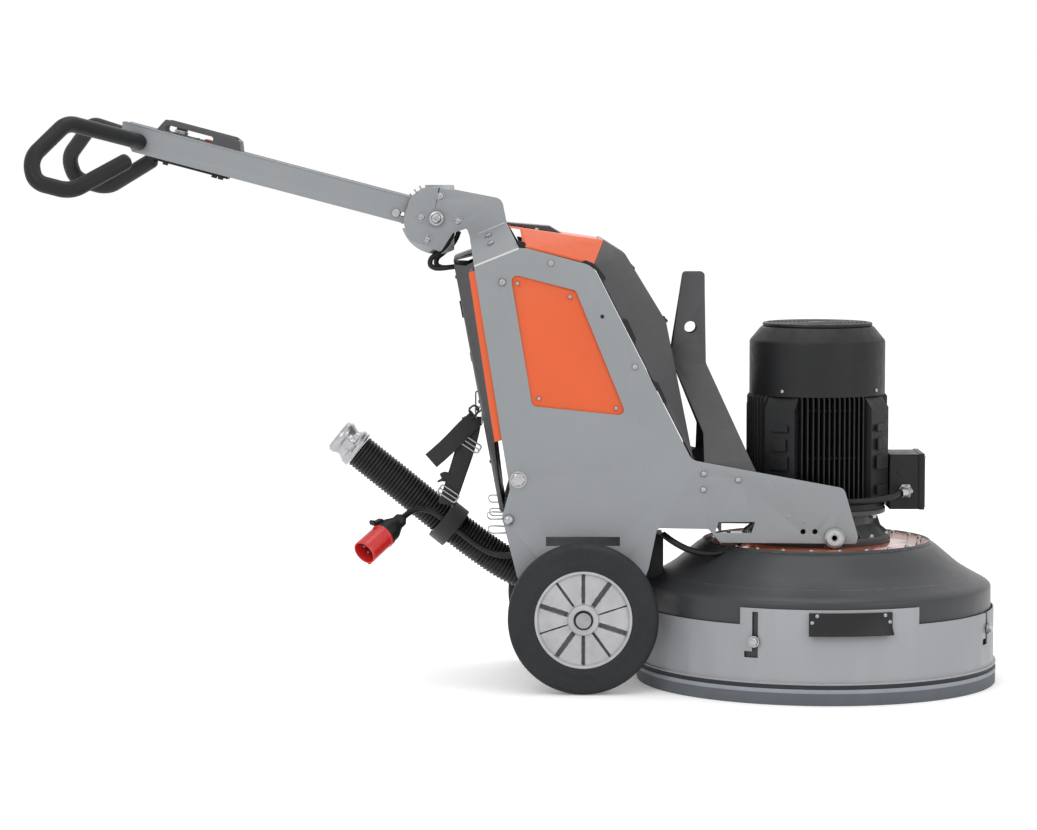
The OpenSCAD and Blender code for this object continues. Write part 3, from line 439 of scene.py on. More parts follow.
def finish(name, base, rough, metal=0.0, mottle=0.08, mottle_scale=6.0, grain=900.0, bump=0.12,
           relief=0.0002, rough_spread=0.08, coat=0.0, coat_rough=0.2, wear=None, stretch=None,
           specular=0.5, sheen=0.0, dust=0.0):
    """A finish whose colour, gloss and relief vary over the surface on Object coordinates.

    Colour goes between a darker and a lighter base on a broad noise; gloss varies on a middle
    noise; relief is a fine noise. wear lightens sharp edges; dust settles on faces that look up."""
    mat = bpy.data.materials.new(name)
    mat.use_nodes = True
    tree = mat.node_tree
    shader = tree.nodes["Principled BSDF"]
    link = tree.links.new
    place = node(tree, "TexCoord").outputs["Object"]
    if stretch:
        mapping = node(tree, "Mapping")
        mapping.inputs["Scale"].default_value = stretch
        link(place, mapping.inputs["Vector"])
        place = mapping.outputs["Vector"]
    broad = noise(tree, place, mottle_scale, 4.0)
    tint = spread(tree, broad, 0.3, 0.7, 0.0, 1.0)
    base = scaled(base, 1.0 if name == "floor" else PAINT_DEPTH)
    shade = blended(tree, tint, scaled(base, 1 - mottle), scaled(base, 1 + mottle))
    fine = noise(tree, place, grain, 2.0)
    if wear:
        edge = node(tree, "Bevel", samples=4)
        edge.inputs["Radius"].default_value = 0.0016
        solid = node(tree, "NewGeometry")
        turn = node(tree, "VectorMath", operation="DOT_PRODUCT")
        link(edge.outputs["Normal"], turn.inputs[0])
        link(solid.outputs["Normal"], turn.inputs[1])
        sharp = spread(tree, turn.outputs["Value"], 0.985, 0.9, 0.0, 0.75)
        rub = node(tree, "Math", operation="MULTIPLY")
        link(sharp, rub.inputs[0])
        link(spread(tree, noise(tree, place, 60.0), 0.42, 0.62, 0.15, 1.0), rub.inputs[1])
        shade = blended(tree, rub.outputs["Value"], shade, wear)
    if dust:
        solid = node(tree, "NewGeometry")
        split = node(tree, "SeparateXYZ")
        link(solid.outputs["Normal"], split.inputs["Vector"])
        lie = node(tree, "Math", operation="MULTIPLY")
        link(spread(tree, split.outputs["Z"], 0.3, 1.0, 0.0, dust), lie.inputs[0])
        link(spread(tree, noise(tree, place, 35.0), 0.35, 0.7, 0.2, 1.0), lie.inputs[1])
        shade = blended(tree, lie.outputs["Value"], shade, paint(176, 172, 166))
    link(shade, shader.inputs["Base Color"])
    gloss = noise(tree, place, mottle_scale * 9.0, 3.0)
    link(spread(tree, gloss, 0.3, 0.7, max(0.02, rough - rough_spread), min(1.0, rough + rough_spread)),
         shader.inputs["Roughness"])
    if bump:
        lift = node(tree, "Bump")
        lift.inputs["Strength"].default_value = bump
        lift.inputs["Distance"].default_value = relief
        link(fine, lift.inputs["Height"])
        link(lift.outputs["Normal"], shader.inputs["Normal"])
    shader.inputs["Metallic"].default_value = metal
    shader.inputs["Specular IOR Level"].default_value = specular
    shader.inputs["Coat Weight"].default_value = coat
    shader.inputs["Coat Roughness"].default_value = coat_rough
    shader.inputs["Sheen Weight"].default_value = sheen
    MATERIALS[name] = mat
    return mat


def webbing_finish(name, base):
    """Woven band: two crossed waves on the band's own map make the raised diagonal ribs."""
    mat = finish(name, base, 0.78, mottle=0.12, mottle_scale=40.0, bump=0, sheen=0.3)
    tree = mat.node_tree
    link = tree.links.new
    shader = tree.nodes["Principled BSDF"]
    lay = node(tree, "UVMap").outputs["UV"]
    turn = node(tree, "Mapping")
    turn.inputs["Rotation"].default_value = (0, 0, math.radians(38))
    link(lay, turn.inputs["Vector"])
    waves = []
    for direction in ("X", "Y"):
        wave = node(tree, "TexWave", wave_type="BANDS", bands_direction=direction)
        wave.inputs["Scale"].default_value = 130.0
        link(turn.outputs["Vector"], wave.inputs["Vector"])
        waves.append(wave.outputs["Fac"])
    cross = node(tree, "Math", operation="MAXIMUM")
    link(waves[0], cross.inputs[0])
    link(waves[1], cross.inputs[1])
    lift = node(tree, "Bump")
    lift.inputs["Strength"].default_value = 0.6
    lift.inputs["Distance"].default_value = 0.0006
    link(cross.outputs["Value"], lift.inputs["Height"])
    link(lift.outputs["Normal"], shader.inputs["Normal"])
    return mat


def make_finishes():
    """All of the machine's finishes, named as its material slots are."""
    c = colours()
    steel = paint(190, 191, 193)
    finish("grey_paint", c.grey, 0.46, mottle=0.02, grain=1100, bump=0.12, coat=0.08,
           coat_rough=0.35, wear=paint(190, 192, 195), specular=0.35, dust=0.06)
    # Painted highlight: a light grey for thin strips along the side plates' bend lines, standing in for the
    # glint on the folds.
    finish("fold_painted_highlight", paint(214, 215, 217), 0.4, mottle=0.02, bump=0.1, specular=0.35)
    finish("cable_grey", paint(62, 62, 65), 0.5, mottle=0.08, bump=0.2, specular=0.3)
    finish("orange_paint", c.orange, 0.44, mottle=0.03, grain=1100, bump=0.12, coat=0.08,
           coat_rough=0.35, wear=paint(236, 140, 96), specular=0.3, dust=0.05)
    finish("dark_paint", c.dark, 0.5, mottle=0.04, grain=1000, bump=0.18, specular=0.3,
           wear=paint(112, 113, 115), dust=0.06)
    finish("cover_paint", c.head, 0.4, mottle=0.025, mottle_scale=3.0, grain=700, bump=0.05,
           coat=0.12, coat_rough=0.25, wear=paint(120, 121, 123), rough_spread=0.03, specular=0.25)
    finish("copper_paint", c.copper, 0.22, 0.35, mottle=0.05, grain=800, bump=0.05, coat=0.5,
           coat_rough=0.1, wear=paint(235, 170, 140))
    finish("motor_paint", c.motor, 0.48, mottle=0.1, grain=420, bump=0.25, relief=0.0003,
           wear=paint(58, 59, 61), specular=0.28, dust=0.04)
    finish("adapter_paint", paint(78, 79, 81), 0.45, 0.1, mottle=0.06, bump=0.2, specular=0.3)
    finish("zinc", paint(186, 187, 190), 0.3, 0.9, mottle=0.08, mottle_scale=60, bump=0.08,
           rough_spread=0.1)
    finish("dark_bolt", paint(50, 50, 52), 0.4, 0.7, mottle=0.15, mottle_scale=80, bump=0.15)
    finish("machined_steel", paint(170, 171, 174), 0.3, 0.9, mottle=0.06, mottle_scale=30,
           grain=500, bump=0.1, stretch=(1, 6, 1))
    finish("cast_aluminium", paint(186, 186, 188), 0.5, 0.35, mottle=0.1, mottle_scale=28,
           grain=520, bump=0.35, relief=0.0004, rough_spread=0.14, wear=paint(212, 212, 214))
    # Painted shade: the rim's groove floors get a darker grey than its panels, standing in for the shade deep
    # in the grooves.
    finish("groove_painted_shade", paint(122, 122, 125), 0.6, 0.2, mottle=0.14, mottle_scale=30,
           grain=420, bump=0.5, relief=0.0005)
    finish("turned_aluminium", paint(196, 196, 198), 0.3, 0.85, mottle=0.08, mottle_scale=40,
           grain=600, bump=0.12, rough_spread=0.12)
    finish("skirt_steel", c.band, 0.44, 0.1, mottle=0.015, mottle_scale=4, grain=800, bump=0.05,
           wear=paint(196, 197, 200), specular=0.35, rough_spread=0.03)
    finish("tyre_rubber", c.tyre, 0.66, mottle=0.1, mottle_scale=12, grain=650, bump=0.35,
           relief=0.0003, dust=0.06, specular=0.2)
    finish("grip_rubber", c.rubber, 0.5, mottle=0.1, mottle_scale=18, grain=1400, bump=0.3,
           specular=0.25, wear=paint(52, 53, 55))
    finish("seal_rubber", c.skirt, 0.66, mottle=0.06, mottle_scale=22, grain=700, bump=0.35,
           relief=0.0004, specular=0.25)
    finish("seal_stripe", paint(150, 155, 163), 0.6, mottle=0.06, mottle_scale=22, grain=500,
           bump=0.3, relief=0.0004, specular=0.25)
    finish("seal_channel", paint(58, 60, 63), 0.6, mottle=0.1, mottle_scale=22, bump=0.3,
           specular=0.25)
    finish("hose_plastic", paint(26, 26, 28), 0.4, mottle=0.12, mottle_scale=20, grain=500,
           bump=0.1, specular=0.3)
    finish("lead_jacket", paint(24, 24, 26), 0.45, mottle=0.1, mottle_scale=30, grain=1200,
           bump=0.25, specular=0.3)
    finish("plug_red", c.plug, 0.3, mottle=0.05, mottle_scale=40, grain=900, bump=0.08, coat=0.2)
    finish("black_plastic", paint(25, 25, 27), 0.45, mottle=0.1, mottle_scale=30, grain=1300,
           bump=0.22, wear=paint(54, 54, 56), specular=0.3)
    finish("green_plastic", paint(34, 112, 60), 0.32, mottle=0.06, bump=0.06)
    finish("red_plastic", paint(196, 44, 34), 0.32, mottle=0.06, bump=0.06)
    finish("disc_paint", paint(176, 58, 42), 0.5, mottle=0.1, bump=0.3, wear=steel)
    finish("drive_grey", paint(140, 142, 146), 0.5, 0.4, mottle=0.08, bump=0.25, wear=steel)
    finish("belt_rubber", paint(30, 30, 32), 0.7, mottle=0.1, grain=800, bump=0.3)
    webbing_finish("webbing", paint(28, 28, 30))


# ---------------------------------------------------------------- pieces
def piece(name, parts, body, replaces=(), bevel=0.0, segments=2, sharp=38.0):
    """An object from (part, finish) pairs: doubles merged, faces turned outwards, smooth by angle.

    The object stays at the origin and its place is in its mesh."""
    mesh = bpy.data.meshes.new(name)
    points, faces, places, index = [], [], [], []
    names = []
    count = 0
    for part, material in parts:
        if material not in names:
            names.append(material)
        points.append(part[0])
        faces.extend([[count + k for k in f] for f in part[1]])
        places.append(part[2])
        index.extend([names.index(material)] * len(part[1]))
        count += len(part[0])
    mesh.from_pydata(np.vstack(points).tolist(), [], faces)
    layer = mesh.uv_layers.new(name="band")
    layer.data.foreach_set("uv", np.vstack(places).astype(np.float32).ravel())
    mesh.polygons.foreach_set("material_index", index)
    for material in names:
        mesh.materials.append(MATERIALS[material])
    work = bmesh.new()
    work.from_mesh(mesh)
    bmesh.ops.remove_doubles(work, verts=work.verts, dist=2e-6)
    bmesh.ops.recalc_face_normals(work, faces=work.faces)
    work.to_mesh(mesh)
    work.free()
    mesh.polygons.foreach_set("use_smooth", [True] * len(mesh.polygons))
    mesh.set_sharp_from_angle(angle=math.radians(sharp))
    obj = bpy.data.objects.new(name, mesh)
    bpy.context.scene.collection.objects.link(obj)
    if bevel:
        add_bevel(obj, bevel, segments)
    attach(obj, body)
    if replaces:
        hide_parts(*replaces)
    return obj


def add_bevel(obj, width, segments=2, angle=35.0):
    """Small rounds on the sharp edges of a piece."""
    made = obj.modifiers.new("Edge rounds", "BEVEL")
    made.width = width
    made.segments = segments
    made.limit_method = "ANGLE"
    made.angle_limit = math.radians(angle)
    made.harden_normals = True
    made.use_clamp_overlap = False
    return made


def finish_node(name, material, bevel=0.0008, angle=35.0):
    """A part of the frame with its finish, its loose triangles joined and its edges rounded."""
    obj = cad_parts[name]
    obj.data.materials.clear()
    obj.data.materials.append(MATERIALS[material])
    obj.data.polygons.foreach_set("material_index", [0] * len(obj.data.polygons))
    obj.data.polygons.foreach_set("use_smooth", [True] * len(obj.data.polygons))
    weld = obj.modifiers.new("Joined", "WELD")
    weld.merge_threshold = 1e-5
    flat = obj.modifiers.new("Flat faces", "DECIMATE")
    flat.decimate_type = "DISSOLVE"
    flat.angle_limit = math.radians(0.6)
    if bevel:
        add_bevel(obj, bevel, 2, angle)
    else:
        split = obj.modifiers.new("Sharp edges", "EDGE_SPLIT")
        split.split_angle = math.radians(angle)
    return obj


# ---------------------------------------------------------------- routes, in millimetres
HOSE_ROUTE = [(-372, 0, 531), (-330, 0, 497), (-280, 0, 457), (-230, 0, 416), (-180, 0, 376),
              (-130, 0, 337), (-80, 0, 300), (-30, 0, 267), (20, 0, 244), (70, 0, 231),
              (120, 0, 227), (170, 0, 230), (212, 0, 238), (244, 0, 246), (261, 0, 250)]
LEAD_ROUTE = [(40, -100, 385), (40, -100, 365), (37, -98, 344), (24, -92, 318), (-2, -82, 300),
              (-34, -70, 294), (-66, -60, 300), (-98, -54, 317), (-130, -52, 341),
              (-160, -52, 364), (-190, -53, 388), (-204, -54, 396), (-219, -57, 400),
              (-234, -63, 401), (-248, -72, 397), (-260, -83, 390), (-269, -95, 383)]
CABLE_ROUTE = [(-140, 22, 1040), (-146, 24, 1024), (-158, 26, 1006), (-176, 27, 990),
               (-190, 27, 978), (-192, 26, 964), (-182, 25, 957), (-168, 24, 956), (-150, 23, 958)]
CONDUIT_ROUTE = [(892, -82, 444), (880, -92, 444), (862, -118, 438), (838, -140, 434),
                 (808, -158, 431), (776, -168, 430), (748, -171, 429)]
HOSE_OUT = unit([-0.778, 0.0, 0.628])
HOSE_R = 40.0
LEAD_R = 7.0
PLUG_DIR = unit([-0.58, -0.66, -0.475])
PORT_Z = 250.0


class GRINDER_OT_camera(Operator):
    """Places the camera to the right of the machine, looking slightly down"""
    bl_idname = "grinder.camera"
    bl_label = "Camera"

    def execute(self, context):
        s = studio()
        data = bpy.data.cameras.new("Camera")
        data.lens = s.lens
        data.sensor_width = 36.0
        data.clip_end = 200.0
        camera = bpy.data.objects.new("Camera", data)
        camera.location = (-0.0014, -s.distance, s.height)
        camera.rotation_euler = (math.radians(90) - s.pitch, 0.0, 0.0)
        context.scene.collection.objects.link(camera)
        context.scene.camera = camera
        return {"FINISHED"}


class GRINDER_OT_hose(Operator):
    """Makes the ribbed dust hose, its cam coupling and the boot on the head"""
    bl_idname = "grinder.hose"
    bl_label = "Dust hose"

    def execute(self, context):
        z = sizes()
        route = smooth(HOSE_ROUTE, 24)[::-1]
        total = float(run(route)[-1])
        ribs = int(round(total / z.hose_pitch))
        path = even(route, ribs * 6 + 1)
        wave = 0.5 - 0.5 * np.cos(2 * math.pi * run(path) / total * ribs)
        radius = HOSE_R * MM - z.hose_rib * (1 - wave ** 0.7)
        hose = piece("ribbed_hose", [(tube(path, radius, 40), "hose_plastic")], "frame",
                     replaces=["vacuum_hose"], sharp=80)
        end = np.array(HOSE_ROUTE[0]) * MM
        shell = [(40, 2), (44, 2), (45.5, 3.5), (45.5, 8), (44, 9.5), (44, 12), (45, 13), (45, 17),
                 (43, 18.5), (40.5, 20), (40, 24), (37, 28), (36, 34), (37, 40), (40, 44),
                 (41, 48), (41, 56), (39.5, 58.5), (36.5, 59), (36.5, 60.5), (35, 62), (33, 62),
                 (32, 60.5), (32, 6), (36, 5), (36, 2), (40, 2)]
        parts = [(revolve(shell, end, HOSE_OUT, 72), "turned_aluminium")]
        side, over = across(HOSE_OUT)
        for way in (-1, 1):
            lever = rounded([(14, 35), (42, 35), (46, 39), (40, 49), (20, 49), (10, 43)], 3)
            arm = prism(np.array(lever) * (1, way), end - over * 9 * MM, HOSE_OUT, side, 18 * way)
            parts.append((arm, "turned_aluminium"))
            pin = revolve([(0, 0), (3, 0), (3, 24), (0, 24)],
                          end + HOSE_OUT * 24 * MM + side * way * 42 * MM - over * 12 * MM, over, 16)
            parts.append((pin, "zinc"))
        coupling = piece("cam_coupling", parts, "frame",
                         replaces=["hose_coupling"], bevel=0.0007)
        port = np.array([0.0, 0.0, PORT_Z]) * MM
        folds = [(41.0, 246)] + [(45.0 + 2.6 * math.cos(k * math.pi / 2), 250 + 2 * k)
                                 for k in range(15)] + [(41.4, 281), (40.6, 281), (40.4, 246), (41.0, 246)]
        boot = piece("hose_boot", [(revolve(folds, port, X, 64), "grip_rubber")], "frame",
                     sharp=70)
        boot.parent = None
        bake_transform(boot)
        return {"FINISHED"}


class GRINDER_OT_lead(Operator):
    """Makes the mains lead with its strain relief and its five-pin plug"""
    bl_idname = "grinder.lead"
    bl_label = "Mains lead"

    def execute(self, context):
        path = even(smooth(LEAD_ROUTE, 16), 240)
        lead = piece("rubber_lead", [(tube(path, LEAD_R * MM, 24), "lead_jacket")], "frame",
                     replaces=["mains_lead"], sharp=60)
        sleeve = path[:14]
        taper = np.linspace(10.5, 7.6, len(sleeve)) + 0.5 * (np.arange(len(sleeve)) % 2)
        relief = piece("lead_relief", [(tube(sleeve, taper * MM, 28), "grip_rubber")], "frame",
                       sharp=50)
        at = path[-1]
        black = [(0, -4), (8.5, -4), (11, -1), (12, 3), (16, 6), (16, 20), (15, 21.5), (15, 23),
                 (18.5, 25), (20, 30), (24, 38), (26.5, 44), (27.5, 50), (27.5, 64), (29.5, 65),
                 (29.5, 73), (27, 74), (0, 74)]
        red = [(0, 72), (28.5, 72), (30, 73.5), (30, 78), (28.6, 79), (29, 138), (28.8, 143),
               (28.2, 144), (26, 144), (25.2, 142.5), (25, 92), (0, 92)]
        parts = [(revolve(black, at, PLUG_DIR, 64), "black_plastic"),
                 (revolve(red, at, PLUG_DIR, 72), "plug_red")]
        side, over = across(PLUG_DIR)
        for k in range(16):
            a = k * math.pi / 8
            spoke = math.cos(a) * side + math.sin(a) * over
            rib = prism(rounded([(7, -1.6), (19, -1.6), (19, 1.6), (7, 1.6)], 0.8, 2),
                        at + spoke * 15 * MM, PLUG_DIR, np.cross(PLUG_DIR, spoke), 2.2)
            parts.append((rib, "black_plastic"))
        pins = [(90 + 72 * k, 3.4 if k else 4.2) for k in range(5)]
        for turn, r in pins:
            a = math.radians(turn)
            foot = at + (math.cos(a) * side + math.sin(a) * over) * 14.5 * MM
            parts.append((revolve([(0, 90), (r, 90), (r, 125), (r - 1, 127), (0, 127)], foot, PLUG_DIR,
                                  20), "zinc"))
        key = prism(rounded([(108, -4), (143, -4), (144.5, 0), (143, 4), (108, 4)], 1),
                    at - over * 32 * MM, PLUG_DIR, side, 5)
        parts.append((key, "plug_red"))
        hook = prism(rounded([(48, 0), (74, 0), (80, 8), (78, 16), (73, 16), (72, 10), (62, 7),
                              (48, 4)], 1.2), at + over * 26 * MM - side * 7 * MM, PLUG_DIR, over, 14)
        parts.append((hook, "black_plastic"))
        plug = piece("five_pin_plug", parts, "frame", replaces=["mains_plug"], bevel=0.0005)
        gland = [(0, 0), (9, 0), (10, 1), (12.5, 5), (13.5, 6), (13.5, 6.5)] + \
                [(13.8, 6.5, 1), (13.8, 17, 1)] + [(0, 17.2)]
        piece("lead_gland", [(revolve(gland, np.array(LEAD_ROUTE[0]) * MM, Z, 24), "black_plastic")],
              "frame", replaces=["cable_gland"])
        return {"FINISHED"}


class GRINDER_OT_strap(Operator):
    """Makes the webbing strap that holds the hose, with its buckles, rings and free tail"""
    bl_idname = "grinder.strap"
    bl_label = "Webbing strap"

    def execute(self, context):
        w = sizes().strap_width
        cloth, steel = "webbing", "zinc"
        cloth_t = 0.0022            # thickness of the webbing
        wrap_high, wrap_wide = 49, 62   # half the size of the loop round hose and lead
        band = smooth([(-107, -66, 616), (-108, -69, 600), (-114, -71, 570), (-126, -71.5, 530),
                       (-140, -72, 490), (-152, -72, 455), (-161, -71, 430), (-166, -66, 412)], 8)
        tail = smooth([(-99, -70, 612), (-108, -74, 604), (-128, -77, 586), (-152, -78, 561),
                       (-178, -77, 536), (-203, -74, 514)], 8)
        inner = smooth([(-112, -62, 612), (-116, -66, 585), (-126, -67.5, 545), (-139, -68, 500),
                        (-150, -68, 465), (-157, -68, 440)], 8)
        face = np.array([0.93, 0.0, 0.37])
        parts = [(ribbon(band, face, w, cloth_t), cloth), (ribbon(inner, face, w * 0.98, 0.002), cloth),
                 (ribbon(tail, [0.66, 0, -0.75], w, cloth_t), cloth)]
        middle = np.array([-163.0, -8.0, 362.0]) * MM
        a = np.linspace(0, 2 * math.pi, 73)[:-1]
        up = unit(np.cross(HOSE_OUT, Y))
        loop = middle + (np.cos(a)[:, None] * up * wrap_high + np.sin(a)[:, None] * Y * wrap_wide) * MM
        t = unit(np.roll(loop, -1, 0) - np.roll(loop, 1, 0))
        out = np.cross(t, HOSE_OUT)
        x = np.array([-1, -0.95, 0.95, 1, 1, 0.95, -0.95, -1]) * w / 2
        y = np.array([0.5, 1, 1, 0.5, -0.5, -1, -1, -0.5]) * 1.3 * MM
        wrap = loop[:, None] + x[None, :, None] * HOSE_OUT + y[None, :, None] * out[:, None]
        parts.append((grid(wrap, wrap_u=True, wrap_v=True), cloth))
        for centre, lean, wide, tall in (((-111, -74, 552), 34, 47, 20), ((-163, -75, 438), 34, 48, 20)):
            c, s = math.cos(math.radians(lean)), math.sin(math.radians(lean))
            frame_line = rounded([(-wide / 2, -tall / 2), (wide / 2, -tall / 2), (wide / 2, tall / 2),
                                  (-wide / 2, tall / 2)], 6, 5)
            ring = np.array([(centre[0] + c * p + s * q, centre[1], centre[2] - s * p + c * q)
                             for p, q in frame_line]) * MM
            parts.append((_loop(ring, 0.0021, Y), steel))
            parts.append((revolve([(0, 0), (1.8, 0), (1.8, wide - 4), (0, wide - 4)],
                                  np.array(centre) * MM - np.array([c, 0, -s]) * (wide / 2 - 2) * MM,
                                  [c, 0, -s], 12), steel))
        eye = rounded([(-100, 672), (-92, 676), (-84, 640), (-92, 622), (-100, 636)], 4, 4)
        parts.append((_loop(np.array([(p, -60, q) for p, q in eye]) * MM, 0.0016, Y), "dark_bolt"))
        link_line = rounded([(-101, 636), (-84, 640), (-86, 598), (-97, 594)], 4, 4)
        parts.append((_loop(np.array([(p, -68, q) for p, q in link_line]) * MM, 0.0019, Y), steel))
        knot = smooth([(-106, -66, 622), (-114, -72, 632), (-104, -76, 642), (-94, -72, 634),
                       (-98, -66, 622), (-110, -64, 612)], 6)
        parts.append((ribbon(knot, Y, 0.026, 0.0034), cloth))
        keeper = smooth([(-182, -70, 466), (-178, -74, 474), (-171, -76, 480), (-166, -74, 476),
                         (-169, -70, 466)], 5)
        parts.append((ribbon(keeper, [0.5, -0.2, 0.8], 0.02, 0.003), cloth))
        piece("webbing_strap", parts, "frame", replaces=["strap"], sharp=60)
        return {"FINISHED"}


def _loop(line, r, lean, sides=10):
    """A closed round wire along a flat closed line: line + r·(cos a·n + sin a·lean)."""
    t = unit(np.roll(line, -1, 0) - np.roll(line, 1, 0))
    n = np.cross(t, unit(lean))
    a = np.linspace(0, 2 * math.pi, sides, endpoint=False)
    ring = np.cos(a)[None, :, None] * n[:, None] + np.sin(a)[None, :, None] * unit(lean)
    return grid(line[:, None] + r * ring, wrap_u=True, wrap_v=True)


class GRINDER_OT_cables(Operator):
    """Makes the cables under the handle pivot, the motor's conduit and the cable under the arm"""
    bl_idname = "grinder.cables"
    bl_label = "Fixed cables"

    def execute(self, context):
        line = even(smooth(CABLE_ROUTE, 10), 90)
        both = [(tube(line, 0.006, 20), "lead_jacket"),
                (tube(line + np.array([-0.013, -0.05, 0.0]), 0.006, 20), "lead_jacket")]
        piece("cable_pair", both, "frame", replaces=["pivot_cables"], sharp=60)
        path = even(smooth(CONDUIT_ROUTE, 14), 150)
        wave = 0.00035 * np.cos(2 * math.pi * run(path) / 0.004)
        gland = np.array([892.0, -66.0, 444.0]) * MM
        nut = [(0, 0), (15, 0, 1), (15, 5, 1), (12, 5.5), (12, 8), (14, 8.5, 1), (14, 14, 1), (11, 16),
               (10.5, 20), (0, 20)]
        elbow = even(smooth([(892, -78, 444), (891, -88, 444), (886, -95, 443), (878, -100, 442)], 8), 24)
        parts = [(tube(path, 0.0072 + wave, 20), "hose_plastic"),
                 (revolve(nut, gland, RIGHT, 24), "turned_aluminium"),
                 (tube(elbow, 0.0095, 24), "turned_aluminium")]
        piece("conduit_run", parts, "head", replaces=["motor_conduit"], sharp=60)
        feed = even(smooth([(330, -150, 352), (352, -176, 338), (384, -182, 322), (420, -178, 312),
                            (456, -168, 312), (488, -150, 322), (506, -128, 334)], 12), 90)
        piece("arm_cable", [(tube(feed, 0.0075, 20), "lead_jacket")], "frame", sharp=60)
        return {"FINISHED"}


# Widths of the grooves between the rim's ten panels, in millimetres, a tenth of a turn apart
GROOVES = [3.2, 11.0, 8.0, 5.5, 11.0, 3.2, 11.0, 8.0, 6.0, 11.0]


def rim_part(side):
    """Both faces of a cast rim as one closed grid over radius and angle.

    The face's depth is the hub's, the panels' or the felloe's at its radius; where the distance
    from a groove's middle line is under half its width it drops by the groove's depth."""
    depth = sizes().groove_depth / MM
    a = np.linspace(0, 2 * math.pi, 600, endpoint=False)
    radius = np.array([0, 12, 13, 33.2, 34.2, 36, 38, 44, 60, 76, 92, 100, 102.2, 104.5, 105.5, 110, 111.2])
    level = np.array([0, 0, 1, 1, 0, -6, -7.5, -8, -8, -8, -8, -7.5, -5, -1, 0, 0, -2.0]) + 28.0
    middle = np.radians(18 + 36 * np.arange(10))
    wide = np.array(GROOVES)
    off = np.abs(np.angle(np.exp(1j * (a[:, None] - middle[None, :]))))
    near = off.argmin(1)
    gap = radius[:, None] * np.sin(np.minimum(off[np.arange(len(a)), near], 1.5))[None, :] * 2
    cut = np.clip((wide[near][None, :] - gap) / 1.6, 0, 1) * (radius > 37)[:, None] * (radius < 103)[:, None]
    face = level[:, None] - depth * cut
    rows = np.concatenate([np.stack(np.broadcast_arrays(radius[:, None], face), -1),
                           np.stack(np.broadcast_arrays(radius[::-1, None], -face[::-1]), -1)])
    centre = AXLE + side * 241 * MM
    n, b = X, Z
    spoke = np.cos(a)[:, None] * n + np.sin(a)[:, None] * b
    points = centre + (rows[..., 1:] * side + rows[..., :1] * spoke[None]) * MM
    v, faces, uv = grid(points, wrap_v=True)
    # The faces deep in the grooves are kept apart so that they get the darker painted shade finish.
    low = (np.concatenate([cut, cut[::-1]]) > 0.5)
    deep = (low[:-1] & low[1:])
    deep = (deep & np.roll(deep, -1, 1)).ravel()
    pick = lambda mask: ([f for f, m in zip(faces, mask) if m], uv.reshape(-1, 4, 2)[mask].reshape(-1, 2))
    panel_faces, panel_uv = pick(~deep)
    groove_faces, groove_uv = pick(deep)
    return (v, panel_faces, panel_uv), (v, groove_faces, groove_uv)


class GRINDER_OT_wheels(Operator):
    """Makes both wheels: cast rims with ten panels, solid tyres, bearings and axle caps"""
    bl_idname = "grinder.wheels"
    bl_label = "Wheels"

    def execute(self, context):
        ridge = sizes().tyre_ridge / MM
        for name, side in (("right", RIGHT), ("left", LEFT)):
            centre = AXLE + side * 241 * MM
            half = [(110.5, 0), (110.5, 26), (112, 28.4), (114.5, 29.4), (118, 29.8), (123, 30.3),
                    (124.4, 30.4 + ridge), (125.8, 30.4), (140, 31.2), (156, 31.8), (161, 31.2),
                    (166, 28.6), (169.4, 24.4), (170.8, 19), (171, 10), (171, 0)]
            wall = half + [(r, -h) for r, h in half[-2:0:-1]] + [half[0]]
            piece("solid_tyre_" + name, [(revolve(wall, centre, side, 128), "tyre_rubber")],
                  "wheel_" + name, replaces=["tyre_" + name], sharp=60)
            panels, grooves = rim_part(side)
            cap = [(0, 36.5), (9, 36.5), (10.5, 36), (11.5, 34.5), (13, 34.5), (14.5, 33.6), (16.4, 33.6),
                   (17, 32.5), (17, 24), (0, 24)]
            seal = [(16.5, 24), (22.5, 24), (22.5, 30.4), (21.5, 31.2), (17.5, 31.2), (16.5, 30.4),
                    (16.5, 24)]
            # The groove faces get the painted shade finish, darker than the panels.
            parts = [(panels, "cast_aluminium"), (grooves, "groove_painted_shade"),
                     (revolve(cap, centre, side, 48), "turned_aluminium"),
                     (revolve(seal, centre, side, 48), "black_plastic")]
            piece("cast_rim_" + name, parts, "wheel_" + name, replaces=["rim_" + name],
                  sharp=32)
        return {"FINISHED"}


GRIP_CORNERS = [(-700, 54, -6), (-722, 92, -3), (-852, 226, 0), (-900, 318, -96), (-872, 346, -142),
                (-792, 336, -142), (-692, 264, -43)]
GRIP_BENDS = [34, 60, 70, 34, 60]


class GRINDER_OT_grips(Operator):
    """Makes the rubber sleeves of the two handle loops"""
    bl_idname = "grinder.grips"
    bl_label = "Handle loops"

    def execute(self, context):
        line = bent(GRIP_CORNERS, GRIP_BENDS, 14)
        path = even(in_handle(line / MM), 220)
        radius = np.full(len(path), 18.5)
        radius[:3] = (16.6, 17.8, 18.3)
        radius[-5:] = (18.4, 18.0, 17.0, 14.6, 9.0)
        sleeve = tube(path, radius * MM, 40)
        for name, part in (("left", sleeve), ("right", mirrored(sleeve))):
            piece("grip_sleeve_" + name, [(part, "grip_rubber")], "handle",
                  replaces=["grip_" + name], sharp=50)
        return {"FINISHED"}


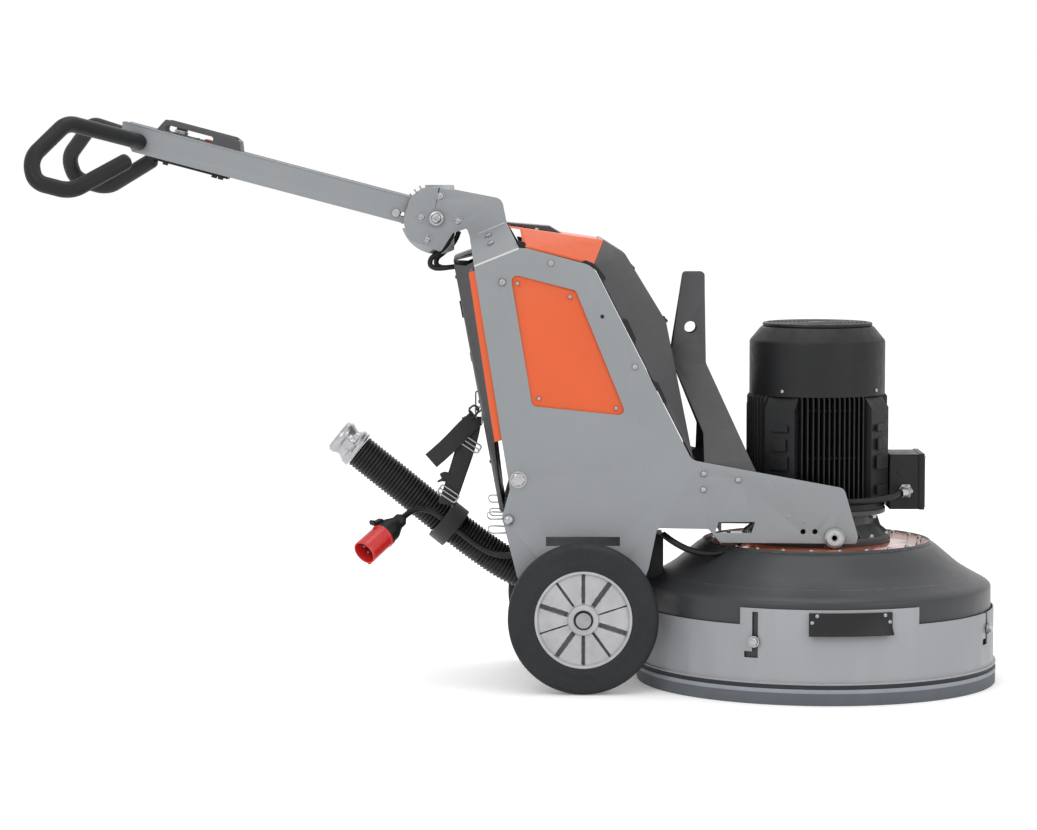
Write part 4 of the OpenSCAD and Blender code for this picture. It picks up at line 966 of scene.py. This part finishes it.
class GRINDER_OT_handle(Operator):
    """Adds the beam's folded lips, the control guard's bolts and the panel's small parts"""
    bl_idname = "grinder.handle"
    bl_label = "Handle details"

    def execute(self, context):
        at = lambda x, y, z: in_handle([(x, y, z)])[0]
        lips = []
        for way in (-1, 1):
            fold = in_handle([(x, way * BEAM_HALF, BEAM_TOP) for x in np.linspace(-746, 22, 40)])
            lips.append((tube(fold, 0.0021, 10), "grey_paint"))
        piece("beam_folds", lips, "handle", sharp=70)
        d = BEAM_TOP
        parts = []
        for x, y in ((-654, -32), (-654, 32), (-581, -32), (-581, 32)):
            parts.append((dome_bolt(at(x, y, d + 3), BEAM_UP, 3.5), "dark_bolt"))
        for y in (-47, 47):
            for x in (-664, -486):
                parts.append((dome_bolt(at(x, y, d), BEAM_UP, 3.0), "zinc"))
        piece("handle_screws", parts, "handle")
        ring = revolve([(17, 0), (20.5, 0), (20.5, 1.2), (19, 2), (17.5, 2), (17, 0)],
                       at(-620, 0, d + 3), BEAM_UP, 40)
        marks = [(revolve([(0, 0), (0.9, 0), (0.9, 0.5), (0, 0.5)],
                          at(-620 + 24 * math.cos(a), 24 * math.sin(a), d + 3), BEAM_UP, 12), "zinc")
                 for a in np.radians(np.arange(-135, 136, 30))]
        piece("dial_scale", [(ring, "black_plastic")] + marks, "handle")
        dial = at(-620, 0, d + 3.5)
        foot = [(0, -10), (8.9, -10), (8.9, 0), (15.2, 0), (16, 0.8), (16, 8.2), (15.2, 9), (0, 9)]
        cap = [(0, 8.8), (13.6, 8.8), (13.4, 9.6), (12, 22), (11, 23), (0, 23)]
        knob = [(revolve(foot, dial, BEAM_UP, 48), "zinc"),
                (revolve(cap, dial, BEAM_UP, 48), "black_plastic")]
        for k in range(18):
            a = k * math.pi / 9
            spoke = math.cos(a) * BEAM_ALONG + math.sin(a) * Y
            knob.append((prism(rounded([(10, -0.9), (21.5, -0.9), (21.5, 0.9), (10, 0.9)], 0.5, 2),
                               dial + spoke * 12.2 * MM, BEAM_UP, np.cross(BEAM_UP, spoke), 1.8),
                         "black_plastic"))
        knob.append((prism([(-10, -0.8), (10, -0.8), (10, 0.8), (-10, 0.8)],
                           dial + BEAM_UP * 22.9 * MM, BEAM_ALONG, Y, 0.8), "zinc"))
        piece("dial_knob", knob, "speed_dial", replaces=["speed_knob"], bevel=0.0003)
        stop = at(-545, 0, d + 4.4)
        mushroom = [(0, -13), (8.9, -13), (8.9, 0), (18, 0.1), (19, 0.9), (19, 2.6), (17.5, 4.0),
                    (12, 4.9), (0, 5.2)]
        piece("stop_cap", [(revolve(mushroom, stop, BEAM_UP, 48), "red_plastic")],
              "stop_mushroom", replaces=["emergency_stop"], sharp=40)
        return {"FINISHED"}


# Bolts of the side plates in X and Z, with the head's radius, in millimetres
PLATE_BOLTS = [(-38, 931, 8.5), (262, 739, 7.0), (419, 496, 7.0), (418, 460, 7.0), (497, 482, 7.0),
               (71.7, 973.4, 7.0)]
NECK_BOLTS = [(-180, 1122, 10.0), (-140, 1065, 10.0), (-210, 1024, 10.0), (-224, 1074, 10.0)]
WINDOW_BOLTS = [(-4, 928), (115, 898), (220, 645), (45, 667)]
PLUGS = [(173.5, 887.5, 8.5), (203.2, 519.5, 8.5), (566, 471.6, 8.5)]
DIMPLES = [(267.3, 618.8), (285.2, 508.6), (611.1, 398.4), (646.9, 388)]
JOGGLE_BOLTS = [(-69.8, -95.6, 1032.6), (-64.3, -133.4, 1015.5)]
JOGGLE_OUT = unit([-0.3444, -0.4265, 0.8364])


class GRINDER_OT_fasteners(Operator):
    """Makes the bolts, plugs and screws of both side plates"""
    bl_idname = "grinder.fasteners"
    bl_label = "Side plate fasteners"

    def execute(self, context):
        parts, trim = [], []
        y = -200.0
        spot = lambda x, z, depth=y: np.array([x, depth, z]) * MM
        for x, z, r in PLATE_BOLTS:
            parts.append((dome_bolt(spot(x, z), RIGHT, r), "zinc"))
        for x, z, r in NECK_BOLTS:
            parts.append((revolve([(0, 0), (r, 0), (r, 1.4), (0, 1.4)], spot(x, z, -66), RIGHT, 32), "zinc"))
            parts.append((dome_bolt(spot(x, z, -67.4), RIGHT, r * 0.82), "zinc"))
        for at in JOGGLE_BOLTS:
            parts.append((hex_bolt(np.array(at) * MM, JOGGLE_OUT, 6.5, 6.5, 8.8), "zinc"))
        for x, z in WINDOW_BOLTS:
            parts.append((dome_bolt(spot(x, z, -197.5), RIGHT, 4.8), "zinc"))
        parts.append((hex_bolt(spot(-2, 483), RIGHT, 14.5, 11, 19), "turned_aluminium"))
        parts.append((revolve([(0, 0), (13, 0), (13, 2), (11.5, 6), (8, 9.5), (4, 11), (0, 11.4)],
                              spot(-24, 391), RIGHT, 32), "zinc"))
        for x, z, r in PLUGS:
            trim.append((revolve([(0, -0.5), (r, -0.5), (r, 0.35), (r - 0.6, 0.6), (0, 0.6)],
                                 spot(x, z), RIGHT, 36), "grey_paint"))
        for x, z in DIMPLES:
            trim.append((revolve([(0, -0.5), (4.4, -0.5), (4.2, 0.5), (3, 1.1), (0, 1.3)],
                                 spot(x, z), RIGHT, 24), "grey_paint"))
        trim.append((revolve([(0, -1), (4.6, -1), (4.6, 0.15), (0, 0.15)], spot(188, 853.2), RIGHT, 24),
                     "black_plastic"))
        collar = [(0, 9.6), (14, 9.6), (15.4, 8.6), (15.4, 6), (16.6, 5.4), (16.6, 0.2), (0, 0.2)]
        parts.append((revolve(collar, spot(PIVOT[0] / MM, PIVOT[2] / MM, -66), RIGHT, 40),
                      "turned_aluminium"))
        parts.append((dome_bolt(spot(PIVOT[0] / MM, PIVOT[2] / MM, -75), RIGHT, 12.5), "zinc"))
        boss = [(7.2, -2, 1), (7.2, 8.2, 1), (8.6, 9.2), (17.5, 9.2), (18.5, 8.2), (22.2, 8.2), (23, 7.4),
                (23, 0.2), (9, 0.2)]
        parts.append((revolve(boss + [boss[0]], spot(TIP[0] / MM, TIP[2] / MM), RIGHT, 48),
                      "turned_aluminium"))
        parts.append((revolve([(0, 1), (8.4, 1), (8.4, 3), (0, 3)], spot(TIP[0] / MM, TIP[2] / MM),
                              RIGHT, 24), "dark_bolt"))
        both = parts + [(mirrored(p), m) for p, m in parts]
        piece("plate_bolts", both, "frame", replaces=["fasteners"])
        piece("plate_trim", trim + [(mirrored(p), m) for p, m in trim], "frame")
        return {"FINISHED"}


class GRINDER_OT_cabinet(Operator):
    """Adds the cabinet's edge tabs, screws, clips, painted highlight strips along the side plates' folds and
    lifting plate details
    """
    bl_idname = "grinder.cabinet"
    bl_label = "Cabinet details"

    def execute(self, context):
        tabs = [[(141.5, 976.8), (150.3, 980.7), (166.2, 973.6), (180.5, 961), (193.2, 945.1),
                 (196.4, 938.7), (190, 932.9), (182.1, 946.7), (169.4, 961), (156.7, 970.5)],
                [(233, 849), (244.2, 846.9), (264.8, 801.8), (261.7, 791.2), (256, 798)],
                [(303, 706), (314.3, 703.9), (334.2, 661.9), (332.4, 652.3), (326, 658)],
                [(-5.7, 1024.4), (12, 1021.3), (20.6, 1007), (8, 1006), (-3, 1014.5)]]
        parts = [(plate_xz(t, -198.5, -194.0), "black_plastic") for t in tabs[:3]]
        parts.append((plate_xz(tabs[3], -188.0, -170.0), "black_plastic"))
        piece("edge_tabs", parts + [(mirrored(p), m) for p, m in parts], "frame")
        top = np.array([(-24, 1055.6), (193, 1023.6)])
        run_up = unit(top[1] - top[0])
        normal = np.array([run_up[1] * -1, 0, run_up[0]])
        screws = []
        for x, y in ((185, -52), (185, 52), (160, -92), (160, 92), (40, -70), (40, 70)):
            z = np.interp(x, top[:, 0], top[:, 1])
            if abs(y) < 85:
                screws.append((dome_bolt(np.array([x, y, z]) * MM, normal, 5), "zinc"))
        for x, z in ((262, 958), (338, 837)):
            for y in (-60, 60):
                screws.append((dome_bolt(np.array([x, y, z]) * MM, unit([0.84, 0, 0.54]), 5), "dark_bolt"))
        piece("cover_screws", screws, "frame")
        # Painted highlight: thin light grey tubes along the bend lines of the side plates stand in for the
        # glint on the folds.
        folds = []
        for y, low_end, high_end in ((-199.2, (-101, 967), (-1, 1007)), (-66.2, (-113, 1027), (-31, 1062))):
            line = np.array([(low_end[0], y, low_end[1]), (high_end[0], y, high_end[1])], float) * MM
            folds.append((tube(line[0] + (line[1] - line[0]) * np.linspace(0, 1, 12)[:, None], 0.0021, 16),
                          "fold_painted_highlight"))
        piece("plate_fold_highlights", folds + [(mirrored(p), m) for p, m in folds], "frame", sharp=70)
        strip = [(-32, 1062), (70, 1053.5), (98, 1036.5), (80, 1036), (60, 1043), (-28, 1058)]
        piece("hood_ridge", [(plate_xz(strip, -46, 46), "dark_paint")], "frame",
              bevel=0.001)
        clips = []
        for x, z in ((-72, 408), (-70, 376)):
            line = smooth([(x + 62, -186, z - 2), (x + 30, -186, z - 1), (x + 8, -186, z),
                           (x, -186, z - 4), (x + 2, -186, z - 14), (x + 14, -186, z - 17),
                           (x + 62, -186, z - 15)], 6)
            clips.append((ribbon(line, Y, 0.018, 0.0022), "zinc"))
        piece("hose_clips", clips + [(mirrored(p), m) for p, m in clips], "frame")
        sheet = [(-150, 979), (-149, 985), (-118, 997), (-110, 999), (-108, 994), (-140, 981)]
        piece("panel_cap", [(plate_xz(sheet, -58, 58), "grey_paint")], "frame")
        frame_parts = []
        for down, y, r in ((230, -45, 18), (230, 45, 18)):
            ring = [(11.4, 0), (r, 0), (r, 1.4), (r - 1.5, 2.4), (11.4, 2.4), (11.4, 0)]
            frame_parts.append((revolve(ring, on_panel(0, y, down), PANEL_OUT, 40), "dark_bolt"))
        for down in (40, 330, 470):
            for y in (-120, 120):
                frame_parts.append((dome_bolt(on_panel(0, y, down), PANEL_OUT, 4.5), "dark_bolt"))
        piece("panel_bezels", frame_parts, "frame")
        for name, body, y, material in (("start_button", "start_push", -45, "green_plastic"),
                                        ("stop_button", "stop_push", 45, "red_plastic")):
            cap = [(0, -6), (10.9, -6), (10.9, 3), (10, 4), (0, 4)]
            piece(name + "_cap", [(revolve(cap, on_panel(0, y, 230), PANEL_OUT, 40), material)], body,
                  replaces=[name], sharp=40)
        base = on_panel(0, 0, 120)
        turn = [(0, -6), (10.9, -6), (10.9, 0.5), (21.6, 0.5), (22, 1), (22, 2.8), (21.3, 3.5), (0, 3.5)]
        down = np.array([math.sin(PANEL_TILT), 0, -math.cos(PANEL_TILT)])
        lever = prism(rounded([(-20, -5), (20, -5), (20, 5), (-20, 5)], 4), base + PANEL_OUT * 3.4 * MM,
                      down, np.cross(PANEL_OUT, down), 3.6)
        piece("switch_lever", [(revolve(turn, base, PANEL_OUT, 48), "black_plastic"),
                              (lever, "black_plastic")], "power_switch",
              replaces=["main_switch"], bevel=0.0006)
        return {"FINISHED"}


MOTOR_TURN = math.radians(9.6)


class GRINDER_OT_motor(Operator):
    """Makes the motor's finned body, its cowl and grille, and the terminal box fittings"""
    bl_idname = "grinder.motor"
    bl_label = "Motor"

    def execute(self, context):
        low, high = 403.0, 672.0
        core = [(0, low + 1), (158, low + 1), (158, low + 14), (150, low + 17), (128, low + 20),
                (128, high - 10), (134, high - 8), (134, high), (0, high)]
        parts = [(revolve(core, HEAD, Z, 96), "motor_paint")]
        for quarter in range(4):
            a = MOTOR_TURN - math.pi / 2 + quarter * math.pi / 2
            out = np.array([math.cos(a), math.sin(a), 0.0])
            over = np.array([-math.sin(a), math.cos(a), 0.0])
            for k in range(-6, 7):
                x = 12.0 * k
                reach = math.sqrt(162.0 ** 2 - x * x)
                fin = [(104, low + 18), (reach - 3, low + 18), (reach, low + 30), (reach, high - 12),
                       (reach - 5, high - 6), (104, high - 6)]
                at = HEAD + over * (x + 1.6) * MM
                parts.append((prism(fin, at, out, Z, 3.2), "motor_paint"))
            for level in (low + 120, high - 40):
                for k in range(-5, 5):
                    reach = 150 - abs(k) * 3.0
                    bar = [(reach - 20, 0), (reach - 4, 0), (reach - 4, 5), (reach - 20, 5)]
                    at = HEAD + over * (12.0 * k + 10.6) * MM + Z * level * MM
                    parts.append((prism(bar, at, out, Z, 9.2), "motor_paint"))
            c = a + math.pi / 4
            out = np.array([math.cos(c), math.sin(c), 0.0])
            over = np.array([-math.sin(c), math.cos(c), 0.0])
            wall = [(112, low + 24), (160, low + 24), (168, low + 32), (168, high - 34), (150, high - 8),
                    (112, high - 8)]
            parts.append((prism(wall, HEAD + over * 39 * MM, out, Z, 78), "motor_paint"))
            for z0, z1, half in ((36, 58, 22), (96, 128, 24), (140, 168, 20), (184, 200, 24)):
                lug = rounded([(-half, low + z0), (half, low + z0), (half, low + z1), (-half, low + z1)], 3)
                parts.append((prism(lug, HEAD + out * 171.5 * MM, -over, Z, -4.5), "motor_paint"))
            for z in (low + 47, low + 112, low + 154):
                parts.append((revolve([(0, 0), (4.5, 0, 1), (4.5, 3, 1), (0, 3)],
                                      HEAD + out * 171 * MM + Z * z * MM, out, 24), "dark_bolt"))
        piece("motor_body", parts, "head", replaces=["motor_housing"], bevel=0.0006)

        top = 831.0
        r = 157.0
        cowl = [(r, 666), (r, 786), (r - 0.7, 789.5), (r - 3, 792.5), (r - 24, 818), (r - 28, 821.5),
                (r - 33, 822.5), (r - 33, 820), (r - 29, 818.5), (r - 26, 815.5), (r - 5.5, 791),
                (r - 2.8, 786), (r - 2.8, 666), (r, 666)]
        rings = sizes().grille_rings
        parts = [(revolve(cowl, HEAD, Z, 160), "motor_paint")]
        disc = [(118, top - 8), (125.5, top - 8), (127, top - 6.5), (127, top - 3), (125, top - 0.6),
                (122, top), (118, top), (118, top - 8)]
        parts.append((revolve(disc, HEAD, Z, 128), "motor_paint"))
        for k in range(rings):
            mid = 22 + (116 - 22) * k / (rings - 1)
            bar = [(mid - 2.1, top - 4.5), (mid + 2.1, top - 4.5), (mid + 1.5, top - 0.7), (mid, top - 0.1),
                   (mid - 1.5, top - 0.7), (mid - 2.1, top - 4.5)]
            parts.append((revolve(bar, HEAD, Z, 96), "motor_paint"))
        for k in range(12):
            a = k * math.pi / 6 + MOTOR_TURN
            out = np.array([math.cos(a), math.sin(a), 0.0])
            spoke = [(10, -1.6), (120, -1.6), (120, 1.6), (10, 1.6)]
            parts.append((prism(spoke, HEAD + Z * (top - 6) * MM, out, np.cross(Z, out), 3), "motor_paint"))
        parts.append((revolve([(0, top - 6), (19, top - 6), (20, top - 1), (18, top), (0, top)], HEAD, Z,
                              48), "motor_paint"))
        parts.append((revolve([(0, 800), (121, 800), (121, 802), (0, 802)], HEAD, Z, 64), "black_plastic"))
        for k in range(4):
            a = MOTOR_TURN - math.pi / 4 + k * math.pi / 2
            out = np.array([math.cos(a), math.sin(a), 0.0])
            parts.append((dome_bolt(HEAD + out * r * MM + Z * 0.678, out, 4.6), "zinc"))
        piece("cowl_shell", parts, "head", replaces=["fan_cowl"], sharp=40)

        box_x = HEAD[0] / MM
        parts = []
        near = lambda x, z: np.array([box_x + x, -66.0, z]) * MM
        parts.append((revolve([(0, 0), (13, 0), (13, 1.2), (12, 2), (0, 2)], near(193, 489), RIGHT, 40),
                      "black_plastic"))
        for turn in (0.7, 0.7 + math.pi / 2):
            along = np.array([math.cos(turn), 0, math.sin(turn)])
            parts.append((prism([(-8, -1.3), (8, -1.3), (8, 1.3), (-8, 1.3)],
                                near(193, 489) - Y * 0.0024, along, np.cross(Y, along) * -1, -1.2),
                          "black_plastic"))
        parts.append((prism(rounded([(166, 404), (228, 404), (228, 524), (166, 524)], 4),
                            near(0, 0) + Y * 0.0005, X, Z, 0.9), "motor_paint"))
        for y in (-60, 60):
            for z in (409, 521):
                parts.append((dome_bolt(np.array([box_x + 244, y, z]) * MM, X, 4), "zinc"))
        seal = prism(rounded([(-67, 401), (67, 401), (67, 529), (-67, 529)], 5),
                     np.array([box_x + 230.5, 0, 0]) * MM, Y, Z, 2.2)
        parts.append((seal, "grip_rubber"))
        lid = prism(rounded([(-58, 410), (58, 410), (58, 520), (-58, 520)], 8),
                    np.array([box_x + 243.5, 0, 0]) * MM, Y, Z, 2.6)
        parts.append((lid, "motor_paint"))
        piece("terminal_box_fittings", parts, "head", bevel=0.0005)
        return {"FINISHED"}


class GRINDER_OT_head(Operator):
    """Makes the head's domed cover, its plate edge, and the bolts round the motor's foot"""
    bl_idname = "grinder.head"
    bl_label = "Grinding head"

    def execute(self, context):
        r = 405.0
        dome = smooth([(262, 0, 322.5), (275, 0, 316.5), (292, 0, 303), (312, 0, 286), (331, 0, 270.5),
                       (352, 0, 257), (374, 0, 244.5), (392, 0, 235), (400, 0, 229.5),
                       (403.8, 0, 225), (405, 0, 219)], 5)[:, [0, 2]] / MM
        front_r = 362.0
        rim_row = np.interp(front_r, dome[:, 0], dome[:, 1])
        lip = [(258.5, 321), (259.5, 325.5), (262, 326.6), (265, 325), (267.5, 321), (258.5, 321)]
        cap_out = dome[dome[:, 0] < front_r]
        cap = np.vstack([cap_out, [(front_r, rim_row), (front_r - 1.4, rim_row - 2)],
                         cap_out[::-3] - (1.4, 2.0), cap_out[:1]])
        skirt_out = dome[dome[:, 0] > front_r]
        skirt = np.vstack([[(front_r, rim_row)], skirt_out, [(r, 200), (r, 120), (r, 56), (r - 0.8, 55),
                           (r - 2, 55), (r - 2.5, 60), (r - 2.5, 218)],
                           (skirt_out[::-3] - (2.4, 1.8))[1:], [(front_r, rim_row - 2.4)],
                           [(front_r, rim_row)]])
        parts = [(revolve(cap, HEAD, Z, 192), "cover_paint"), (revolve(lip, HEAD, Z, 160), "cover_paint"),
                 (open_rear(skirt, 55.4, 208.0), "cover_paint")]
        piece("cover_dome", parts, "head", replaces=["head_cover"], sharp=50)

        bolts = []
        for k in range(12):
            a = math.radians(15 + 30 * k)
            at = HEAD + np.array([math.cos(a), math.sin(a), 0]) * 0.161 + Z * 0.342
            bolts.append((hex_bolt(at, Z, 7.5, 7, 10), "zinc"))
        for k in range(24):
            a = math.radians(7.5 + 15 * k)
            at = HEAD + np.array([math.cos(a), math.sin(a), 0]) * 0.246 + Z * 0.324
            bolts.append((dome_bolt(at, Z, 5.5), "zinc"))
        for k in range(4):
            a = MOTOR_TURN + math.pi / 4 + k * math.pi / 2
            spoke = np.array([math.cos(a), math.sin(a), 0])
            bolts.append((hex_bolt(HEAD + spoke * 0.15 + Z * 0.391, -Z, 8, 9, 11), "zinc"))
        piece("head_bolts", bolts, "head")
        ribs = []
        for k in range(8):
            a = MOTOR_TURN + math.pi / 8 + k * math.pi / 4
            out = np.array([math.cos(a), math.sin(a), 0.0])
            web = [(134, 342), (170, 342), (170, 346), (150, 362), (140, 391), (134, 391)]
            ribs.append((prism(web, HEAD + np.cross(Z, out) * 3 * MM, out, Z, 6), "adapter_paint"))
        piece("adapter_webs", ribs, "head", bevel=0.001)
        return {"FINISHED"}


def open_rear(profile, half_gap, low):
    """A profile turned about the head's axis, with a gap of equal width left at the rear.

    Above a height the angle starts and ends where the sine of the angle from the rear is
    half_gap over the radius; below it the gap closes to nothing."""
    rows = np.array(profile, float)
    edge = np.arcsin(np.clip(half_gap / rows[:, 0], -1, 1)) * (rows[:, 1] >= low)
    f = np.linspace(0, 1, 241)
    a = math.pi + edge[:, None] + (2 * math.pi - 2 * edge)[:, None] * f[None, :]
    ring = np.stack([rows[:, :1] * np.cos(a), rows[:, :1] * np.sin(a),
                     np.broadcast_to(rows[:, 1:2], a.shape)], -1)
    points = HEAD + ring[:-1] * MM
    v, faces, uv = grid(points, wrap_u=True)
    n, m = points.shape[:2]
    ends = [[k * m for k in range(n)], [k * m + m - 1 for k in range(n)][::-1]]
    return v, faces + ends, np.vstack([uv, np.zeros((2 * n, 2))])


class GRINDER_OT_skirt(Operator):
    """Makes the foot of the dust skirt with its channel and stripe, and the grips' screws"""
    bl_idname = "grinder.skirt"
    bl_label = "Dust skirt"

    def execute(self, context):
        r = 418.0
        foot = [(409, 0.5), (410, 0), (416.4, 0), (417, 1), (417, 26), (417.2, 27), (409, 27), (409, 0.5)]
        stripe = [(406.5, 27), (417.4, 27), (418, 28), (418, 35), (417.4, 36), (406.5, 36), (406.5, 27)]
        channel = [(406, 36), (414.5, 36), (415, 37), (415, 42.5), (417.2, 43.5), (417.8, 46), (406, 46),
                   (406, 36)]
        parts = [(revolve(foot, HEAD, Z, 192), "seal_rubber"), (revolve(stripe, HEAD, Z, 192), "seal_stripe"),
                 (revolve(channel, HEAD, Z, 192), "seal_channel")]
        piece("skirt_foot", parts, "skirt", replaces=["brush_ring"], sharp=40)
        screws = []
        turn = lambda a, radius, z: HEAD + np.array([math.cos(a) * radius, math.sin(a) * radius, z]) * MM
        for middle in (-84.0, 96.0):
            for off, z in ((-10.5, 201), (10.5, 201), (-12.0, 186), (12.0, 186)):
                a = math.radians(middle + off)
                out = np.array([math.cos(a), math.sin(a), 0])
                screws.append((dome_bolt(turn(a, r + 2, z), out, 4.6), "zinc"))
        for a in np.radians([-114, -24, 66, 156]):
            out = np.array([math.cos(a), math.sin(a), 0])
            screws.append((hex_bolt(turn(a, r + 1, 139), out, 9, 7.5, 13), "zinc"))
        piece("skirt_screws", screws[:8], "skirt")
        piece("guide_bolts", screws[8:], "head")
        return {"FINISHED"}


class GRINDER_OT_cad_finishes(Operator):
    """Gives the parts kept from the frame their finishes and small edge rounds"""
    bl_idname = "grinder.cad_finishes"
    bl_label = "Frame part finishes"

    def execute(self, context):
        kinds = {
            "grey_paint": (0.0009, ["side_plate_right", "side_plate_left", "handle_beam"]),
            "orange_paint": (0.001, ["hood_top", "side_cover_right", "side_cover_left"]),
            "dark_paint": (0.001, ["hood_front", "rear_panel", "lifting_bracket", "cross_members",
                                   "guard_bracket"]),
            "copper_paint": (0.0008, ["head_plate"]),
            "motor_paint": (0.0012, ["terminal_box"]),
            "adapter_paint": (0.0015, ["motor_adapter"]),
            "zinc": (0.0004, ["lock_pin", "skirt_guides", "drive_unit"]),
            "machined_steel": (0.0006, ["pivot_pins", "index_plate", "axle_shaft", "motor_rotor",
                                        "planet_spindle_1", "planet_spindle_2", "planet_spindle_3",
                                        "ring_track"]),
            "skirt_steel": (0.0005, ["skirt_band"]),
            "grip_rubber": (0.0006, ["handlebar"]),
            "black_plastic": (0.0012, ["control_pod", "cable_duct", "dust_port", "skirt_grips"]),
            "disc_paint": (0.0008, ["grinding_disc_1", "grinding_disc_2", "grinding_disc_3"]),
            "drive_grey": (0.001, ["planet_carrier"]),
            "belt_rubber": (0.0, ["drive_belts"]),
        }
        for material, (width, names) in kinds.items():
            for name in names:
                finish_node(name, material, width)
        return {"FINISHED"}


class GRINDER_OT_stage(Operator):
    """Lays the pale floor and sets the soft studio light"""
    bl_idname = "grinder.stage"
    bl_label = "Studio"

    def execute(self, context):
        s = studio()
        scene = context.scene
        scene.view_settings.view_transform = "Standard"
        a = np.linspace(0, 2 * math.pi, 96, endpoint=False)
        r = np.array([0.0, 2, 5, 12, 40])
        disc = np.stack([r[:, None] * np.cos(a), r[:, None] * np.sin(a), np.full((5, 96), -0.0005)], -1)
        v, faces, _ = grid(disc, wrap_v=True)
        mesh = bpy.data.meshes.new("floor")
        mesh.from_pydata(v.tolist(), [], faces)
        mat = finish("floor", s.floor, 0.9, mottle=0.004, mottle_scale=1.5, bump=0.02, specular=0.1)
        shader = mat.node_tree.nodes["Principled BSDF"]
        shader.inputs["Emission Color"].default_value = (1.0, 1.0, 1.0, 1.0)
        shader.inputs["Emission Strength"].default_value = s.floor_glow
        mesh.materials.append(mat)
        floor = bpy.data.objects.new("floor", mesh)
        scene.collection.objects.link(floor)
        floor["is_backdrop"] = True
        world = bpy.data.worlds.new("Studio")
        scene.world = world
        world.use_nodes = True
        back = world.node_tree.nodes["Background"]
        back.inputs["Color"].default_value = (1.0, 1.0, 1.0, 1.0)
        back.inputs["Strength"].default_value = s.sky
        for name, place, target, size, power in (
                ("Key", (-2.6, -5.2, 4.6), (0.1, 0, 0.5), 3.2, s.key),
                ("Fill", (4.4, -4.2, 3.0), (0.4, 0, 0.5), 2.8, s.key * 0.5),
                ("Top", (0.4, 0.6, 5.2), (0.2, 0, 0.4), 3.0, s.key * 0.45),
                ("Back", (0.5, 5.5, 3.6), (0.0, 0, 0.5), 3.0, s.key * 0.35)):
            data = bpy.data.lights.new(name, "AREA")
            data.energy = power
            data.size = size
            lamp = bpy.data.objects.new(name, data)
            lamp.location = place
            aim = np.array(target) - np.array(place)
            flat = math.hypot(aim[0], aim[1])
            lamp.rotation_euler = (math.atan2(flat, -aim[2]), 0, math.atan2(-aim[0], aim[1]))
            scene.collection.objects.link(lamp)
        return {"FINISHED"}


STEPS = [GRINDER_OT_camera, GRINDER_OT_hose, GRINDER_OT_lead, GRINDER_OT_strap, GRINDER_OT_cables,
         GRINDER_OT_wheels, GRINDER_OT_grips, GRINDER_OT_handle, GRINDER_OT_fasteners,
         GRINDER_OT_cabinet, GRINDER_OT_motor, GRINDER_OT_head, GRINDER_OT_skirt,
         GRINDER_OT_cad_finishes, GRINDER_OT_stage]


class GRINDER_PT_panel(Panel):
    """Lists the machine's sizes, colours and building steps"""
    bl_idname = "GRINDER_PT_panel"
    bl_label = "Concrete Grinder"
    bl_space_type = "VIEW_3D"
    bl_region_type = "UI"
    bl_category = "Grinder"

    def draw(self, context):
        for title, group in (("Sizes", sizes()), ("Colours", colours()), ("Studio", studio())):
            box = self.layout.box()
            box.label(text=title)
            for key in group.bl_rna.properties.keys():
                if key not in ("rna_type", "name"):
                    box.prop(group, key)
        column = self.layout.column(align=True)
        for step in STEPS:
            column.operator(step.bl_idname)


CLASSES = [GrinderColours, GrinderSizes, GrinderStudio, *STEPS, GRINDER_PT_panel]


def register():
    for cls in CLASSES:
        bpy.utils.register_class(cls)
    bpy.types.Scene.grinder_colours = PointerProperty(type=GrinderColours)
    bpy.types.Scene.grinder_sizes = PointerProperty(type=GrinderSizes)
    bpy.types.Scene.grinder_studio = PointerProperty(type=GrinderStudio)


def unregister():
    del bpy.types.Scene.grinder_colours
    del bpy.types.Scene.grinder_sizes
    del bpy.types.Scene.grinder_studio
    for cls in reversed(CLASSES):
        bpy.utils.unregister_class(cls)


def main():
    register()
    make_finishes()
    for step in STEPS:
        getattr(bpy.ops.grinder, step.bl_idname.split(".")[1])()
    {"cad": CAD_BOX, "visual": [list(corner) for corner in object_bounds()]}


if __name__ == "__main__":
    main()
